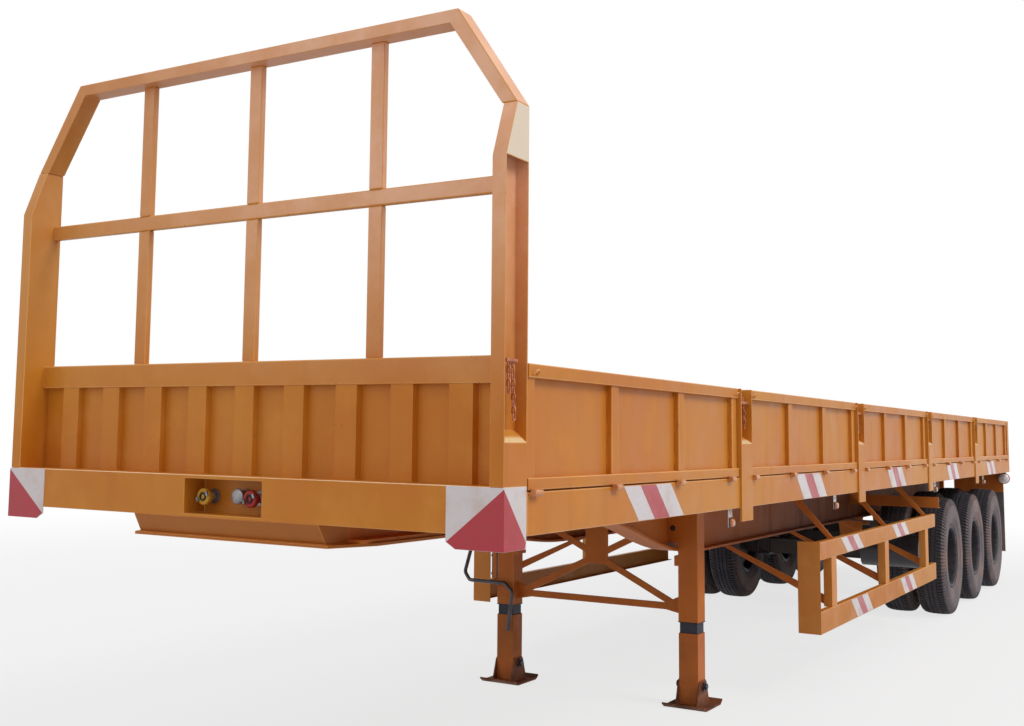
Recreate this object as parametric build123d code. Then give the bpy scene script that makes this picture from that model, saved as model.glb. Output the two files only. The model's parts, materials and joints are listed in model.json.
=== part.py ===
from build123d import *
import os

# Dropside tri-axle semi-trailer, millimetres, +Z up, ground at z = 0.
# The kingpin end faces -Y, so +X is the trailer's left-hand side.
# The origin is at the middle of the overall box, on the ground.
# Distances named d run along the trailer from the front bolster's face.

# ---- Driving sizes ----
body_width = 2500            # over the side beams and the closed side panels
body_length = 12320          # front bolster face to rear beam face
headboard_height = 3115      # top of the headboard above the ground
bay_count = 5                # side panels along each side
axle_count = 3
axle_pitch = 1310
rear_overhang = 1186         # last axle to the rear beam's rear face
tyre_d = 1055
tyre_width = 275
dual_spacing = 320           # middle of one tyre to the middle of its twin
tyre_inset = 6               # outer tyres' faces inside the body width
rim_d = 508
tyre_bump_gap = 167          # side beams above the tyres

# ---- Beams and deck ----
floor_t = 5
floor_edge_gap = 2
cross_member_h = 100
cross_member_w = 50
cross_member_t = 6
cross_member_pitch = 502
cross_member_first = 324     # front edge of the first cross member
cross_member_rear_gap = 50   # least gap between the last one and the rear beam
side_beam_h = 150
side_beam_top_gap = 17       # side beams' tops below the deck sheet's underside
beam_wall = 6
bolster_depth = 168
bolster_h = 165
bolster_wall = 6
rear_beam_depth = 120
main_beam_h = 421
main_web_t = 10
main_flange_w = 140
main_flange_t = 14
coupler_t = 12
coupler_drop = 87            # underside of the coupler plate below the bolster
coupler_half_w = 570
coupler_nose_half_w = 496
coupler_nose_d = 30
coupler_shoulder_d = 250
coupler_wall_t = 8
coupler_wall_half_w = 474    # sloping wall between the bolster and the coupler plate
coupler_wall_fall = 45       # foot of that wall behind its top edge
coupler_end = 1850
gooseneck_end = 3900
recess_half_w = 200
recess_bottom_gap = 12
recess_top_gap = 15
recess_depth = 120

# ---- Kingpin, two-inch size ----
kingpin_d = 1000
kingpin_flange_r = 70        # mounting flange, let into the coupler plate
kingpin_flange_gap = 0.3
kingpin_collar_r = 36.5
kingpin_neck_r = 25.4
kingpin_head_r = 35.7
kingpin_collar_end = 25      # these four are depths below the coupler plate
kingpin_neck_top = 30
kingpin_neck_end = 65
kingpin_end = 84
kingpin_chamfer = 3

# ---- Posts and panels ----
post_w = 170                 # along the trailer
post_proud = 12              # stake posts stand this far outside the side beams
post_wall = 6
post_drop = 67               # how far a stake post runs below its side beam
post_back_gap = 4            # between a stake post and the cross members
panel_h = 442                # bottom of the bottom rail to the top of the top rail
panel_t = 50
panel_lift = 6               # gap between side beam and panel
panel_gap = 8                # gap at each end of a panel
panel_rail_bottom_h = 43
panel_rail_top_h = 50
panel_tube_t = 4
panel_sheet_t = 3
panel_sheet_in = 12          # sheet ahead of the panel's inner face
panel_rib_w = 66
panel_rib_depth = 24
panel_rib_count = 4
post_plate_h = 149           # top of the closed lower half of a post above the deck
post_slope_h = 40

# ---- Panel hinges ----
hinge_out = 18               # hinge axis outside the panel's outer face
hinge_drop = 8               # hinge axis below the panel's underside
hinge_pin_r = 6
hinge_clear = 0.3
hinge_knuckle_r = 13
hinge_knuckle_w = 40
hinge_leaf_t = 5
hinge_leaf_in = 6            # leaf reaches this far under the panel
hinge_lug_w = 8
hinge_side_gap = 2
hinge_lug_r = 12
hinge_first = 32             # first hinge from a side panel's front end
hinge_last = 152             # last hinge from its rear end
gate_hinge_inset = 84        # rear gate's outer hinges from its ends
hinges_per_panel = 4

# ---- Panel latches ----
latch_drop = 70              # latch bar below the panel's top
latch_bar_r = 9
latch_bar_in = 12            # bar axis inside the body width
latch_hook_t = 16
latch_hook_h = 68
latch_hook_rise = 8          # top of the hook above the bar's axis
latch_hook_in = 20

# ---- Headboard ----
post_flange_w = 55           # width of a headboard post across the trailer
slant_drop = 381             # foot of the slanted top tubes below the top
slant_setback = 78
taper_drop = 585             # where the posts begin to lean back
top_corner_in = 249          # upper corners of the frame inside the body width
top_tube_h = 50
top_tube_corner = 34         # inner corners of the top tube, inside the outer ones
slant_foot_w = 62
mid_rail_drop = 688          # underside of the middle rail below the top
mid_rail_h = 63
low_rail_lift = 354          # underside of the low rail above the deck
low_rail_h = 98
low_rail_front = 108
frame_front = 128            # front of the uprights and the middle rail
frame_depth = 30
upright_w = 60
upright_x = 612
rib_pitch = 253              # pressed ribs of the headboard panel
rib_flat = 98
rib_side = 8
pan_front = 112
pan_back = 142
pan_t = 3

# ---- Corner markers ----
marker_t = 3
marker_front_w = 224
marker_side_w = 158
marker_h = 213
marker_top_drop = 2
marker_chamfer_w = 38
marker_chamfer_h = 22.8

# ---- Landing gear ----
leg_d = 3453
leg_w = 120
leg_wall = 6
leg_top_gap = 9              # top of a leg below the cross members
leg_bottom = 483
leg_plate_lift = 77          # bottom of the leg's plate above the main beam's
leg_lug_t = 25
leg_lug_h = 60
inner_leg_gap = 0.5
inner_leg_overlap = 300      # inner leg inside the outer one
inner_leg_wall = 8
sleeve_top = 421
sleeve_w = 118
foot_t = 10
foot_x = 260
foot_flat = 240
foot_tip = 32
foot_tip_rise = 19.2
ear_t = 8
ear_h = 150
ear_base_half = 105
ear_shoulder_half = 88
ear_shoulder_z = 55
ear_top_half = 60
ear_corner = 14              # cut corners at the top of an ear
ear_pin_r = 26
ear_pin_l = 12
ear_pin_drop = 32
tie_z = 542
tie_h = 41
tie_t = 12
tie_gusset_l = 100
tie_gusset_low = 20
tie_gusset_high = 90
brace_h = 40
brace_foot_in = 60           # lower end of a brace inside the leg
brace_head_in = 40           # upper end of a brace inside the main beam's web
brace_head_drop = 239        # upper end of a brace below the cross members
brace_plate_w = 70
brace_plate_half_h = 60
center_plate_w = 150
center_plate_bottom = 780
cross_shaft_r = 14
cross_shaft_drop = 189       # shaft axis below the cross members
cross_shaft_gap = 8          # between the shaft and the bracing
crank_r = 12
crank_bend_r = 36
crank_leg_gap = 21           # hanging crank ahead of the leg
crank_shaft_z = 870
gearbox_w = 48
gearbox_half_d = 58
gearbox_bottom = 643
gearbox_top = 930

# ---- Side guards ----
guard_inset = 30             # guards' outer faces inside the body width
guard_depth = 40
guard_front = 4020
guard_tyre_gap = 246.5       # rear end of the guards to the first tyres
guard_bottom = 392
guard_low_h = 136
guard_top = 945
guard_top_h = 110
guard_wall = 4
guard_post_w = 120
guard_post_depth = 56
guard_post_step = 3          # guard posts stand at every third cross member
guard_front_w = 137
guard_stay_w = 60
guard_stay_t = 8
guard_stay_in = 20           # lower stays' outer edge inside the beam's flange edge
guard_high_stay_rise_in = 260
guard_high_stay_w = 70

# ---- Running gear ----
axle_beam = 140
axle_beam_end_in = 60        # square beam's end inside the brake shield
spindle_r = 60
shield_r = 195
shield_t = 8
spring_tyre_gap = 105        # between a spring seat and the inner tyre
spring_seat_w = 120
spring_seat_half_l = 80
spring_seat_t = 12
spring_w = 90
spring_stack_t = 84          # leaves at the axle, with the seat
spring_end_t = 24
spring_clamp_half_l = 150
spring_eye_rise = 60
spring_end_gap = 120         # between the ends of neighbouring springs
hanger_w = 130
hanger_wall = 12
hanger_top_half = 190
hanger_bottom_half = 110
drum_r = 205
drum_w = 190
drum_wall = 16
drum_back_t = 20
tyre_side_wall = 22
tyre_tread_wall = 34
hub_r = 110
hub_l = 200
hub_offset = 30              # hub's middle outside the discs' middle plane
hub_cap_r = 62
hub_cap_l = 60
hub_cap_offset = 150
hub_gap = 0.4                # running gap between brake shield and drum
bearing_r = 90
disc_t = 14
disc_bore_r = 100
rim_wall = 14
rim_half_share = 0.36        # half width of a rim barrel, as a share of the tyre width
rim_bead_h = 6               # tyre bead above the rim's nominal size
rim_fit_gap = 0.3
chamber_r = 74
chamber_l = 150
chamber_in = 150             # brake chambers inside the springs
chamber_gap = 10
chamber_rise = 20
bracket_t = 12
bracket_half_w = 50
bracket_low = 40             # chamber bracket below and above the axle's middle
bracket_high = 70
camshaft_r = 19
camshaft_behind = 60         # camshaft behind the axle beam
camshaft_rise = 10           # above the beam's underside
slack_half_w = 20
slack_l = 90
slack_top = 20               # slack adjuster's top below the axle's middle

# ---- Air tank ----
tank_r = 140
tank_wall = 4
tank_beam_gap = 86           # tank's inner end outside the main beam's flange
tank_guard_gap = 60
tank_ahead = 346             # tank axis ahead of the first wheels' tread
tank_z = 620
tank_strap_w = 40
tank_strap_t = 12
tank_strap_in = 60
carrier_t = 8
carrier_w = 50

# ---- Mudguard plates and mudflaps ----
mud_bar_inset = 10           # bars' outer ends inside the body width
mud_bar_bottom = 990
mud_bar_h = 95
mud_bar_w = 48
mud_bar_t = 8
mud_bar_guard_gap = 90       # bars behind the side guards
mud_plate_t = 8
mud_plate_in = 650           # inner edges of the rear plates
mud_plate_inset = 60         # rear plates' outer edges inside the body width
mud_plate_h = 237
mud_plate_setback = 22       # rear plates behind the rear beam's front face
mudflap_t = 8
mudflap_side = 10            # mudflaps' inner edges outside those of the plates
mudflap_bottom = 300
mudflap_lap = 60             # how far a mudflap reaches up its plate

# ---- Rear bumper and lamps ----
bumper_inset = 100
bumper_rear_gap = 10         # bumper's rear face to the rear beam's rear face
bumper_depth = 60
bumper_bottom = 450
bumper_h = 120
bumper_wall = 5
bumper_hanger_w = 80
rear_lamp_inset = 165
rear_lamp_w = 260
rear_lamp_h = 90
rear_lamp_depth = 80
rear_lamp_out = 10           # lamps' rear faces inside the rear beam's rear face
corner_lamp_inset = 44
corner_lamp_r = 64
corner_lamp_l = 100
corner_lamp_drop = 73
corner_lamp_rear_gap = 115   # lamps' rear faces to the rear beam's rear face
corner_lamp_foot = 40        # foot's width from the inner edge of its side beam
corner_lamp_foot_h = 20
corner_lamp_foot_in = 10
side_lamp_offsets = (-60, -480, 470, 730)   # from the front edge of each stake post
side_lamp_inset = 8
side_lamp_w = 40
side_lamp_l = 60
side_lamp_h = 95

# ---- Couplings in the bolster recess ----
line_coupling_left = 98      # air line couplings left and right of the middle
line_coupling_right = 145
line_coupling_r = 34
line_coupling_front = 40
line_coupling_drop = 5
socket_x = 22
socket_r = 30
socket_front = 60

# ---- Sizes that follow ----
half_w = body_width / 2
side_beam_w = panel_t + post_wall + post_back_gap
hinge_reach = hinge_out + hinge_knuckle_r
front_y = -(marker_t + body_length + hinge_reach) / 2 + marker_t
beam_bottom = tyre_d + tyre_bump_gap
beam_top = beam_bottom + side_beam_h
cross_top = beam_top + side_beam_top_gap
deck_height = cross_top + floor_t
main_top = cross_top - cross_member_h
main_beam_bottom = main_top - main_beam_h
bolster_bottom = deck_height - bolster_h
coupler_bottom = bolster_bottom - coupler_drop
panel_bottom = beam_top + panel_lift
panel_top = panel_bottom + panel_h
hinge_z = panel_bottom - hinge_drop
post_plate_top = deck_height + post_plate_h
side_in = half_w - side_beam_w
rear_in = body_length - rear_beam_depth
bay = (body_length - bolster_depth - rear_beam_depth - (bay_count - 1) * post_w) / bay_count
axle_z = tyre_d / 2
first_axle = body_length - rear_overhang - (axle_count - 1) * axle_pitch
tyre_outer_face = half_w - tyre_inset
outer_tyre_x = tyre_outer_face - tyre_width / 2
inner_tyre_x = outer_tyre_x - dual_spacing
wheel_mid_x = (outer_tyre_x + inner_tyre_x) / 2
drum_inner_face = wheel_mid_x - disc_t - drum_w
main_beam_x = inner_tyre_x - tyre_width / 2 - spring_tyre_gap - spring_seat_w / 2
web_face = main_beam_x - main_web_t / 2
web_outside = main_beam_x + main_web_t / 2
flange_edge = main_beam_x + main_flange_w / 2
leg_x = flange_edge + leg_w / 2
leg_in = leg_x - leg_w / 2
spring_half = (axle_pitch - spring_end_gap) / 2
guard_x = half_w - guard_inset
guard_end = first_axle - tyre_d / 2 - guard_tyre_gap
post_web_x = half_w - post_flange_w
top_half_w = half_w - top_corner_in
slant_z = headboard_height - slant_drop
post_taper_z = headboard_height - taper_drop
mid_rail_z = headboard_height - mid_rail_drop
low_rail_z = deck_height + low_rail_lift


def along(d):
    """Place on the Y axis of a distance from the front bolster's face."""
    return front_y + d


def block(x0, x1, d0, d1, z0, z1):
    """Box between two corners."""
    size = (x1 - x0, d1 - d0, z1 - z0)
    return Pos((x0 + x1) / 2, along((d0 + d1) / 2), (z0 + z1) / 2) * Box(*size)


def tube_x(x0, x1, d0, d1, z0, z1, wall):
    """Rectangular tube across the trailer, open at its ends."""
    return block(x0, x1, d0, d1, z0, z1) - block(x0, x1, d0 + wall, d1 - wall, z0 + wall, z1 - wall)


def closed_tube(x0, x1, d0, d1, z0, z1, wall):
    """Box section closed by the pieces welded across its ends."""
    hollow = block(x0 + wall, x1 - wall, d0 + wall, d1 - wall, z0 + wall, z1 - wall)
    return block(x0, x1, d0, d1, z0, z1) - hollow


def prism_x(points, x0, x1):
    """Outline of (d, z) points, solid from x0 to x1."""
    wire = Wire.make_polygon([Vector(x0, along(d), z) for d, z in points], close=True)
    return Solid.extrude(Face(wire), Vector(x1 - x0, 0, 0))


def prism_y(points, d0, d1):
    """Outline of (x, z) points, solid from d0 to d1."""
    wire = Wire.make_polygon([Vector(x, along(d0), z) for x, z in points], close=True)
    return Solid.extrude(Face(wire), Vector(0, d1 - d0, 0))


def prism_z(points, z0, z1):
    """Outline of (x, d) points, solid from z0 to z1."""
    wire = Wire.make_polygon([Vector(x, along(d), z0) for x, d in points], close=True)
    return Solid.extrude(Face(wire), Vector(0, 0, z1 - z0))


def rod_x(r, x0, x1, d, z):
    """Round bar across the trailer."""
    return Pos((x0 + x1) / 2, along(d), z) * Rot(0, 90, 0) * Cylinder(r, abs(x1 - x0))


def rod_y(r, x, d0, d1, z):
    """Round bar along the trailer."""
    return Pos(x, along((d0 + d1) / 2), z) * Rot(90, 0, 0) * Cylinder(r, d1 - d0)


def strut(start, end, width, depth):
    """Flat bar between two (x, d, z) points; width across X-Z, depth along Y."""
    a = Vector(start[0], along(start[1]), start[2])
    b = Vector(end[0], along(end[1]), end[2])
    plane = Plane(origin=(a + b) / 2, x_dir=Vector(0, 1, 0), z_dir=b - a)
    return plane * Box(depth, width, (b - a).length)


def both_sides(shape):
    """The shape and its mirror image across the trailer."""
    return [shape, shape.mirror(Plane.YZ)]


def write(node, shapes):
    """One STEP file for a node."""
    solids = []
    for shape in shapes:
        solids += shape.solids()
    export_step(Compound(children=solids) if len(solids) > 1 else solids[0], f"parts/{node}.step")


def post_start(index):
    """Front edge of stake post number index, counted from 1."""
    return bolster_depth + index * bay + (index - 1) * post_w


def panel_start(index):
    """Front edge of the bay of side panel number index, counted from 0."""
    return bolster_depth + index * (bay + post_w)


# ---- Chassis ----
def gooseneck(rise):
    """Underside line of a main beam, raised by rise, from front to rear."""
    front_z = coupler_bottom + coupler_t + rise
    rear_z = main_beam_bottom + rise
    mid = (coupler_end + gooseneck_end) / 2

    def at(d, z):
        return Vector(main_beam_x, along(d), z)

    curve = [at(coupler_end, front_z), at(mid, front_z), at(mid, rear_z), at(gooseneck_end, rear_z)]
    return [
        Edge.make_line(at(bolster_depth, front_z), curve[0]),
        Edge.make_bezier(*curve),
        Edge.make_line(curve[-1], at(rear_in, rear_z)),
    ]


def beam_face(top):
    """Face between the gooseneck line and the edges above it."""
    low = gooseneck(0)
    front = Edge.make_line(low[0] @ 0, top[0] @ 0)
    back = Edge.make_line(low[-1] @ 1, top[-1] @ 1)
    return Face(Wire(low + [back] + top + [front]))


def across(face, width):
    """A face in the main beam's middle plane, given its width."""
    return Pos(-width / 2, 0, 0) * Solid.extrude(face, Vector(width, 0, 0))


def main_beam():
    half = main_flange_w / 2
    level = Edge.make_line(Vector(main_beam_x, along(bolster_depth), main_top),
                           Vector(main_beam_x, along(rear_in), main_top))
    top = block(main_beam_x - half, main_beam_x + half, bolster_depth, rear_in,
                main_top - main_flange_t, main_top)
    low_flange = across(beam_face(gooseneck(main_flange_t)), main_flange_w)
    return across(beam_face([level]), main_web_t) + low_flange + top


def cross_member_starts():
    """Front edges of the cross members, as many as the deck takes."""
    starts = []
    d = cross_member_first
    while d + cross_member_w + cross_member_rear_gap <= rear_in:
        starts.append(d)
        d += cross_member_pitch
    return starts


def cross_members():
    shapes = []
    t = cross_member_t
    for d in cross_member_starts():
        body = block(-side_in, side_in, d, d + cross_member_w, main_top, cross_top)
        cut = block(-side_in, side_in, d + t, d + cross_member_w, main_top + t, cross_top - t)
        shapes.append(body - cut)
    return shapes


def side_beams():
    return both_sides(closed_tube(side_in, half_w, bolster_depth, rear_in, beam_bottom, beam_top,
                                  beam_wall))


def front_bolster():
    t = bolster_wall
    body = closed_tube(-half_w, half_w, 0, bolster_depth, bolster_bottom, deck_height, t)
    low, high = bolster_bottom + recess_bottom_gap, deck_height - recess_top_gap
    shell = block(-recess_half_w - t, recess_half_w + t, t, recess_depth + t, low - t, high + t)
    recess = block(-recess_half_w, recess_half_w, 0, recess_depth, low, high)
    return [body + shell - recess]


def rear_beam():
    return [closed_tube(-half_w, half_w, rear_in, body_length, beam_bottom, beam_top, beam_wall)]


def deck_floor():
    edge = side_in - floor_edge_gap
    return [block(-edge, edge, bolster_depth, rear_in, cross_top, deck_height)]


def coupler_plate():
    nose, wide = coupler_nose_half_w, coupler_half_w
    shoulder = coupler_shoulder_d
    outline = [(-nose, coupler_nose_d), (nose, coupler_nose_d), (wide, shoulder),
               (wide, coupler_end), (-wide, coupler_end), (-wide, shoulder)]
    t = coupler_t
    plate = prism_z(outline, coupler_bottom, coupler_bottom + t)
    hole = Cylinder(kingpin_flange_r + kingpin_flange_gap, t)
    plate -= Pos(0, along(kingpin_d), coupler_bottom + t / 2) * hole
    return [plate + coupler_wall(0) - coupler_wall(coupler_wall_t)]


def coupler_wall(inset):
    """Block behind the sloping front wall, inset by the wall, back to the main beams' ends."""
    low, top = coupler_bottom + coupler_t, bolster_bottom
    front, back = coupler_wall_half_w - inset, web_outside - inset
    plan = prism_z([(-front, inset), (front, inset), (back, bolster_depth), (-back, bolster_depth)],
                   low, top)
    side = prism_x([(inset, top), (inset + coupler_wall_fall, low), (bolster_depth, low),
                    (bolster_depth, top)], -back, back)
    return plan & side


def kingpin():
    # flange in the plate, then collar, neck and head below it
    steps = [(kingpin_flange_r, -coupler_t), (kingpin_flange_r, 0), (kingpin_collar_r, 0),
             (kingpin_collar_r, kingpin_collar_end), (kingpin_neck_r, kingpin_neck_top),
             (kingpin_neck_r, kingpin_neck_end), (kingpin_head_r, kingpin_neck_end),
             (kingpin_head_r, kingpin_end - kingpin_chamfer),
             (kingpin_head_r - kingpin_chamfer, kingpin_end), (0, kingpin_end), (0, -coupler_t)]
    wire = Wire.make_polygon([Vector(r, 0, coupler_bottom - low) for r, low in steps], close=True)
    return [Pos(0, along(kingpin_d), 0) * Solid.revolve(Face(wire), 360, Axis.Z)]


# ---- Headboard ----
def headboard_posts():
    t = post_wall
    web = prism_x([(0, deck_height), (bolster_depth, deck_height), (bolster_depth, slant_z),
                   (slant_setback, slant_z), (0, post_taper_z)], post_web_x, post_web_x + t)
    front = block(post_web_x, half_w, 0, t, deck_height, post_taper_z)
    lean = prism_x([(0, post_taper_z), (t, post_taper_z), (slant_setback + t, slant_z),
                    (slant_setback, slant_z)], post_web_x, half_w)
    rear = block(post_web_x, half_w, bolster_depth - t, bolster_depth, deck_height, slant_z)
    gusset = prism_x([(0, post_taper_z), (bolster_depth, post_taper_z), (bolster_depth, slant_z),
                      (slant_setback, slant_z)], half_w - t, half_w)
    cover = block(half_w - t, half_w, 0, bolster_depth, deck_height, post_plate_top)
    slope = prism_y([(half_w - t, post_plate_top), (half_w, post_plate_top),
                     (post_web_x + t, post_plate_top + post_slope_h),
                     (post_web_x, post_plate_top + post_slope_h)], t, bolster_depth - t)
    return both_sides(web + front + lean + rear + gusset + cover + slope)


def headboard_top():
    # cranked top tube: level across the middle, sloping down to the posts
    corner, under = top_half_w - top_tube_corner, headboard_height - top_tube_h
    right = [(top_half_w, headboard_height), (half_w, slant_z), (half_w - slant_foot_w, slant_z),
             (corner, under)]
    left = [(-x, z) for x, z in reversed(right)]
    return [prism_y(right + left, slant_setback, bolster_depth)]


def headboard_rails():
    shapes = []
    for z, h, d0, d1 in ((mid_rail_z, mid_rail_h, frame_front, frame_front + frame_depth),
                         (low_rail_z, low_rail_h, low_rail_front, bolster_depth)):
        shapes.append(tube_x(-post_web_x, post_web_x, d0, d1, z, z + h, post_wall))
    return shapes


def headboard_uprights():
    # lengths of tube below and above the middle rail
    t = post_wall
    d0, d1 = frame_front, frame_front + frame_depth
    shapes = []
    for x in (-upright_x, 0, upright_x):
        x0, x1 = x - upright_w / 2, x + upright_w / 2
        for z0, z1 in ((low_rail_z + low_rail_h, mid_rail_z),
                       (mid_rail_z + mid_rail_h, headboard_height - top_tube_h)):
            shapes.append(block(x0, x1, d0, d1, z0, z1) - block(x0 + t, x1 - t, d0 + t, d1 - t, z0, z1))
    return shapes


def headboard_panel():
    # sheet pressed into upright ribs
    flat, side = rib_flat / 2, rib_flat / 2 + rib_side
    beside = int((post_web_x - side) // rib_pitch)
    front = [(-post_web_x, pan_back)]
    for i in range(-beside, beside + 1):
        c = i * rib_pitch
        front += [(c - side, pan_back), (c - flat, pan_front), (c + flat, pan_front),
                  (c + side, pan_back)]
    front.append((post_web_x, pan_back))
    back = [(x, d + pan_t) for x, d in reversed(front)]
    return [prism_z(front + back, deck_height, low_rail_z)]


def corner_markers():
    # folded plates wrapped round the front corners
    top = deck_height - marker_top_drop
    low = top - marker_h
    x_in, x_out = half_w - marker_front_w, half_w + marker_t
    face = prism_y([(x_in, top), (x_out, top), (x_out, low), (x_in + marker_chamfer_w, low),
                    (x_in, low + marker_chamfer_h)], -marker_t, 0)
    side = block(half_w, half_w + marker_t, -marker_t, marker_side_w, low, top)
    return both_sides(face + side)


# ---- Stake posts ----
def stake_post(index):
    d0 = post_start(index)
    d1 = d0 + post_w
    t = post_wall
    out = half_w + post_proud
    back = half_w - panel_t - t
    lower = block(half_w, out, d0, d1, beam_bottom - post_drop, post_plate_top)
    upper = block(back, out, d0, d1, beam_top, panel_top)
    hollow = block(back + t, out - t, d0 + t, d1 - t, beam_top, post_plate_top)
    open_face = block(back + t, out, d0 + t, d1 - t, post_plate_top, panel_top)
    slope = prism_y([(out - t, post_plate_top), (out, post_plate_top),
                     (back + t, post_plate_top + post_slope_h),
                     (back, post_plate_top + post_slope_h)], d0 + t, d1 - t)
    return upper - hollow - open_face + lower + slope


def stake_posts():
    shapes = []
    for index in range(1, bay_count):
        shapes += both_sides(stake_post(index))
    return shapes


def rear_posts():
    t = post_wall
    body = block(side_in, half_w, rear_in, body_length, beam_top, panel_top)
    hollow = block(side_in + t, half_w - t, rear_in + t, body_length - t, beam_top, panel_top - t)
    return both_sides(body - hollow)


def panel_latches():
    # bar and hook in the open upper half of each post
    shapes = []
    z = panel_top - latch_drop
    half_t = latch_hook_t / 2
    for index in range(1, bay_count):
        d0 = post_start(index)
        d = d0 + post_w / 2
        bar = rod_y(latch_bar_r, half_w - latch_bar_in, d0 + post_wall, d0 + post_w - post_wall, z)
        hook_top = z + latch_hook_rise
        hook = block(half_w - panel_t, half_w - latch_hook_in, d - half_t, d + half_t,
                     hook_top - latch_hook_h, hook_top)
        shapes += both_sides(bar + hook)
    return shapes


# ---- Hinged panels ----
def hinge_places(first, last):
    """Middles of the hinges along a panel, from the first to the last."""
    step = (last - first) / (hinges_per_panel - 1)
    return [first + i * step for i in range(hinges_per_panel)]


def slab(x0, x1, y0, y1, z0, z1):
    """Box in a flat panel's own frame."""
    return Pos((x0 + x1) / 2, (y0 + y1) / 2, (z0 + z1) / 2) * Box(x1 - x0, y1 - y0, z1 - z0)


def barrel_y(r, y, width):
    """Cylinder on the hinge line in a flat panel's own frame."""
    return Pos(hinge_out, y, -hinge_drop) * Rot(90, 0, 0) * Cylinder(r, width)


def flat_panel(length, hinges):
    """Panel along +Y from 0, outer face at x = 0, underside at z = 0, outer side towards +X."""
    t = panel_tube_t
    low, top = panel_rail_bottom_h, panel_h - panel_rail_top_h
    shape = slab(-panel_t, 0, 0, length, 0, low) - slab(-panel_t + t, -t, 0, length, t, low - t)
    rail = slab(-panel_t, 0, 0, length, top, panel_h)
    shape += rail - slab(-panel_t + t, -t, 0, length, top + t, panel_h - t)
    sheet_in = -panel_t + panel_sheet_in
    sheet_out = sheet_in + panel_sheet_t
    shape += slab(sheet_in, sheet_out, 0, length, low, top)
    rib_pitch = (length - panel_rib_w) / (panel_rib_count - 1)
    for i in range(panel_rib_count):
        y = i * rib_pitch
        shape += slab(sheet_out, sheet_out + panel_rib_depth, y, y + panel_rib_w, low, top)
    half = hinge_knuckle_w / 2
    for y in hinges:
        shape += slab(-hinge_leaf_in, hinge_out, y - half, y + half, 0, hinge_leaf_t)
        shape += barrel_y(hinge_knuckle_r, y, hinge_knuckle_w)
        shape -= barrel_y(hinge_pin_r + hinge_clear, y, hinge_knuckle_w)
    return shape


def hinge_set(hinges):
    """Fixed lugs and pins of one panel, in the same place as flat_panel."""
    reach = hinge_knuckle_w / 2 + hinge_side_gap
    shapes = []
    for y in hinges:
        pin = barrel_y(hinge_pin_r, y, 2 * (reach + hinge_lug_w))
        for side in (-1, 1):
            c = y + side * (reach + hinge_lug_w / 2)
            pin += barrel_y(hinge_lug_r, c, hinge_lug_w)
            pin += slab(0, hinge_out, c - hinge_lug_w / 2, c + hinge_lug_w / 2,
                        -hinge_drop - hinge_lug_r, -hinge_drop)
        shapes.append(pin)
    return shapes


side_panel_length = bay - 2 * panel_gap
rear_gate_length = 2 * (side_in - panel_gap)
side_hinges = hinge_places(hinge_first, side_panel_length - hinge_last)
gate_hinges = hinge_places(gate_hinge_inset, rear_gate_length - gate_hinge_inset)


def place_side(shape, index):
    return Pos(half_w, along(panel_start(index) + panel_gap), panel_bottom) * shape


def place_rear(shape):
    turned = Rot(0, 0, 90) * shape
    return Pos(rear_gate_length / 2, along(body_length), panel_bottom) * turned


# ---- Landing gear ----
def square_tube_z(half, wall, z0, z1):
    """Upright square tube round a leg's axis, open at its ends."""
    outer = block(leg_x - half, leg_x + half, leg_d - half, leg_d + half, z0, z1)
    bore = half - wall
    return outer - block(leg_x - bore, leg_x + bore, leg_d - bore, leg_d + bore, z0, z1)


def landing_legs():
    h = leg_w / 2
    top = main_top - leg_top_gap
    tube = square_tube_z(h, leg_wall, leg_bottom, top)
    tube += block(leg_x - h, leg_x + h, leg_d - h, leg_d + h, top - leg_wall, top)
    plate = block(web_outside, leg_in, leg_d - h, leg_d + h,
                  main_beam_bottom + leg_plate_lift, main_top - main_flange_t)
    lug = block(leg_in - leg_lug_t, leg_in, leg_d - h, leg_d + h, main_beam_bottom - leg_lug_h,
                main_beam_bottom)
    return both_sides(tube + plate + lug)


def landing_inner_legs():
    h = leg_w / 2 - leg_wall - inner_leg_gap
    inner = square_tube_z(h, inner_leg_wall, sleeve_top, leg_bottom + inner_leg_overlap)
    sleeve = square_tube_z(sleeve_w / 2, inner_leg_wall + (sleeve_w / 2 - h), foot_t, sleeve_top)
    return both_sides(inner + sleeve)


def landing_feet():
    f, tip, lift = foot_flat / 2, foot_flat / 2 + foot_tip, foot_tip_rise
    profile = [(leg_d - f, 0), (leg_d + f, 0), (leg_d + tip, lift), (leg_d + tip, lift + foot_t),
               (leg_d + f, foot_t), (leg_d - f, foot_t), (leg_d - tip, lift + foot_t),
               (leg_d - tip, lift)]
    shoe = prism_x(profile, leg_x - foot_x / 2, leg_x + foot_x / 2)
    ear = [(ear_base_half, foot_t), (ear_shoulder_half, ear_shoulder_z),
           (ear_top_half, ear_h - ear_corner), (ear_top_half - ear_corner, ear_h)]
    ear = [(leg_d + a, z) for a, z in ear] + [(leg_d - a, z) for a, z in reversed(ear)]
    for side in (-1, 1):
        face = leg_x + side * sleeve_w / 2
        outside = face + side * ear_t
        shoe += prism_x(ear, face, outside)
        shoe += rod_x(ear_pin_r, outside, outside + side * ear_pin_l, leg_d, ear_h - ear_pin_drop)
    return both_sides(shoe)


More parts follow.
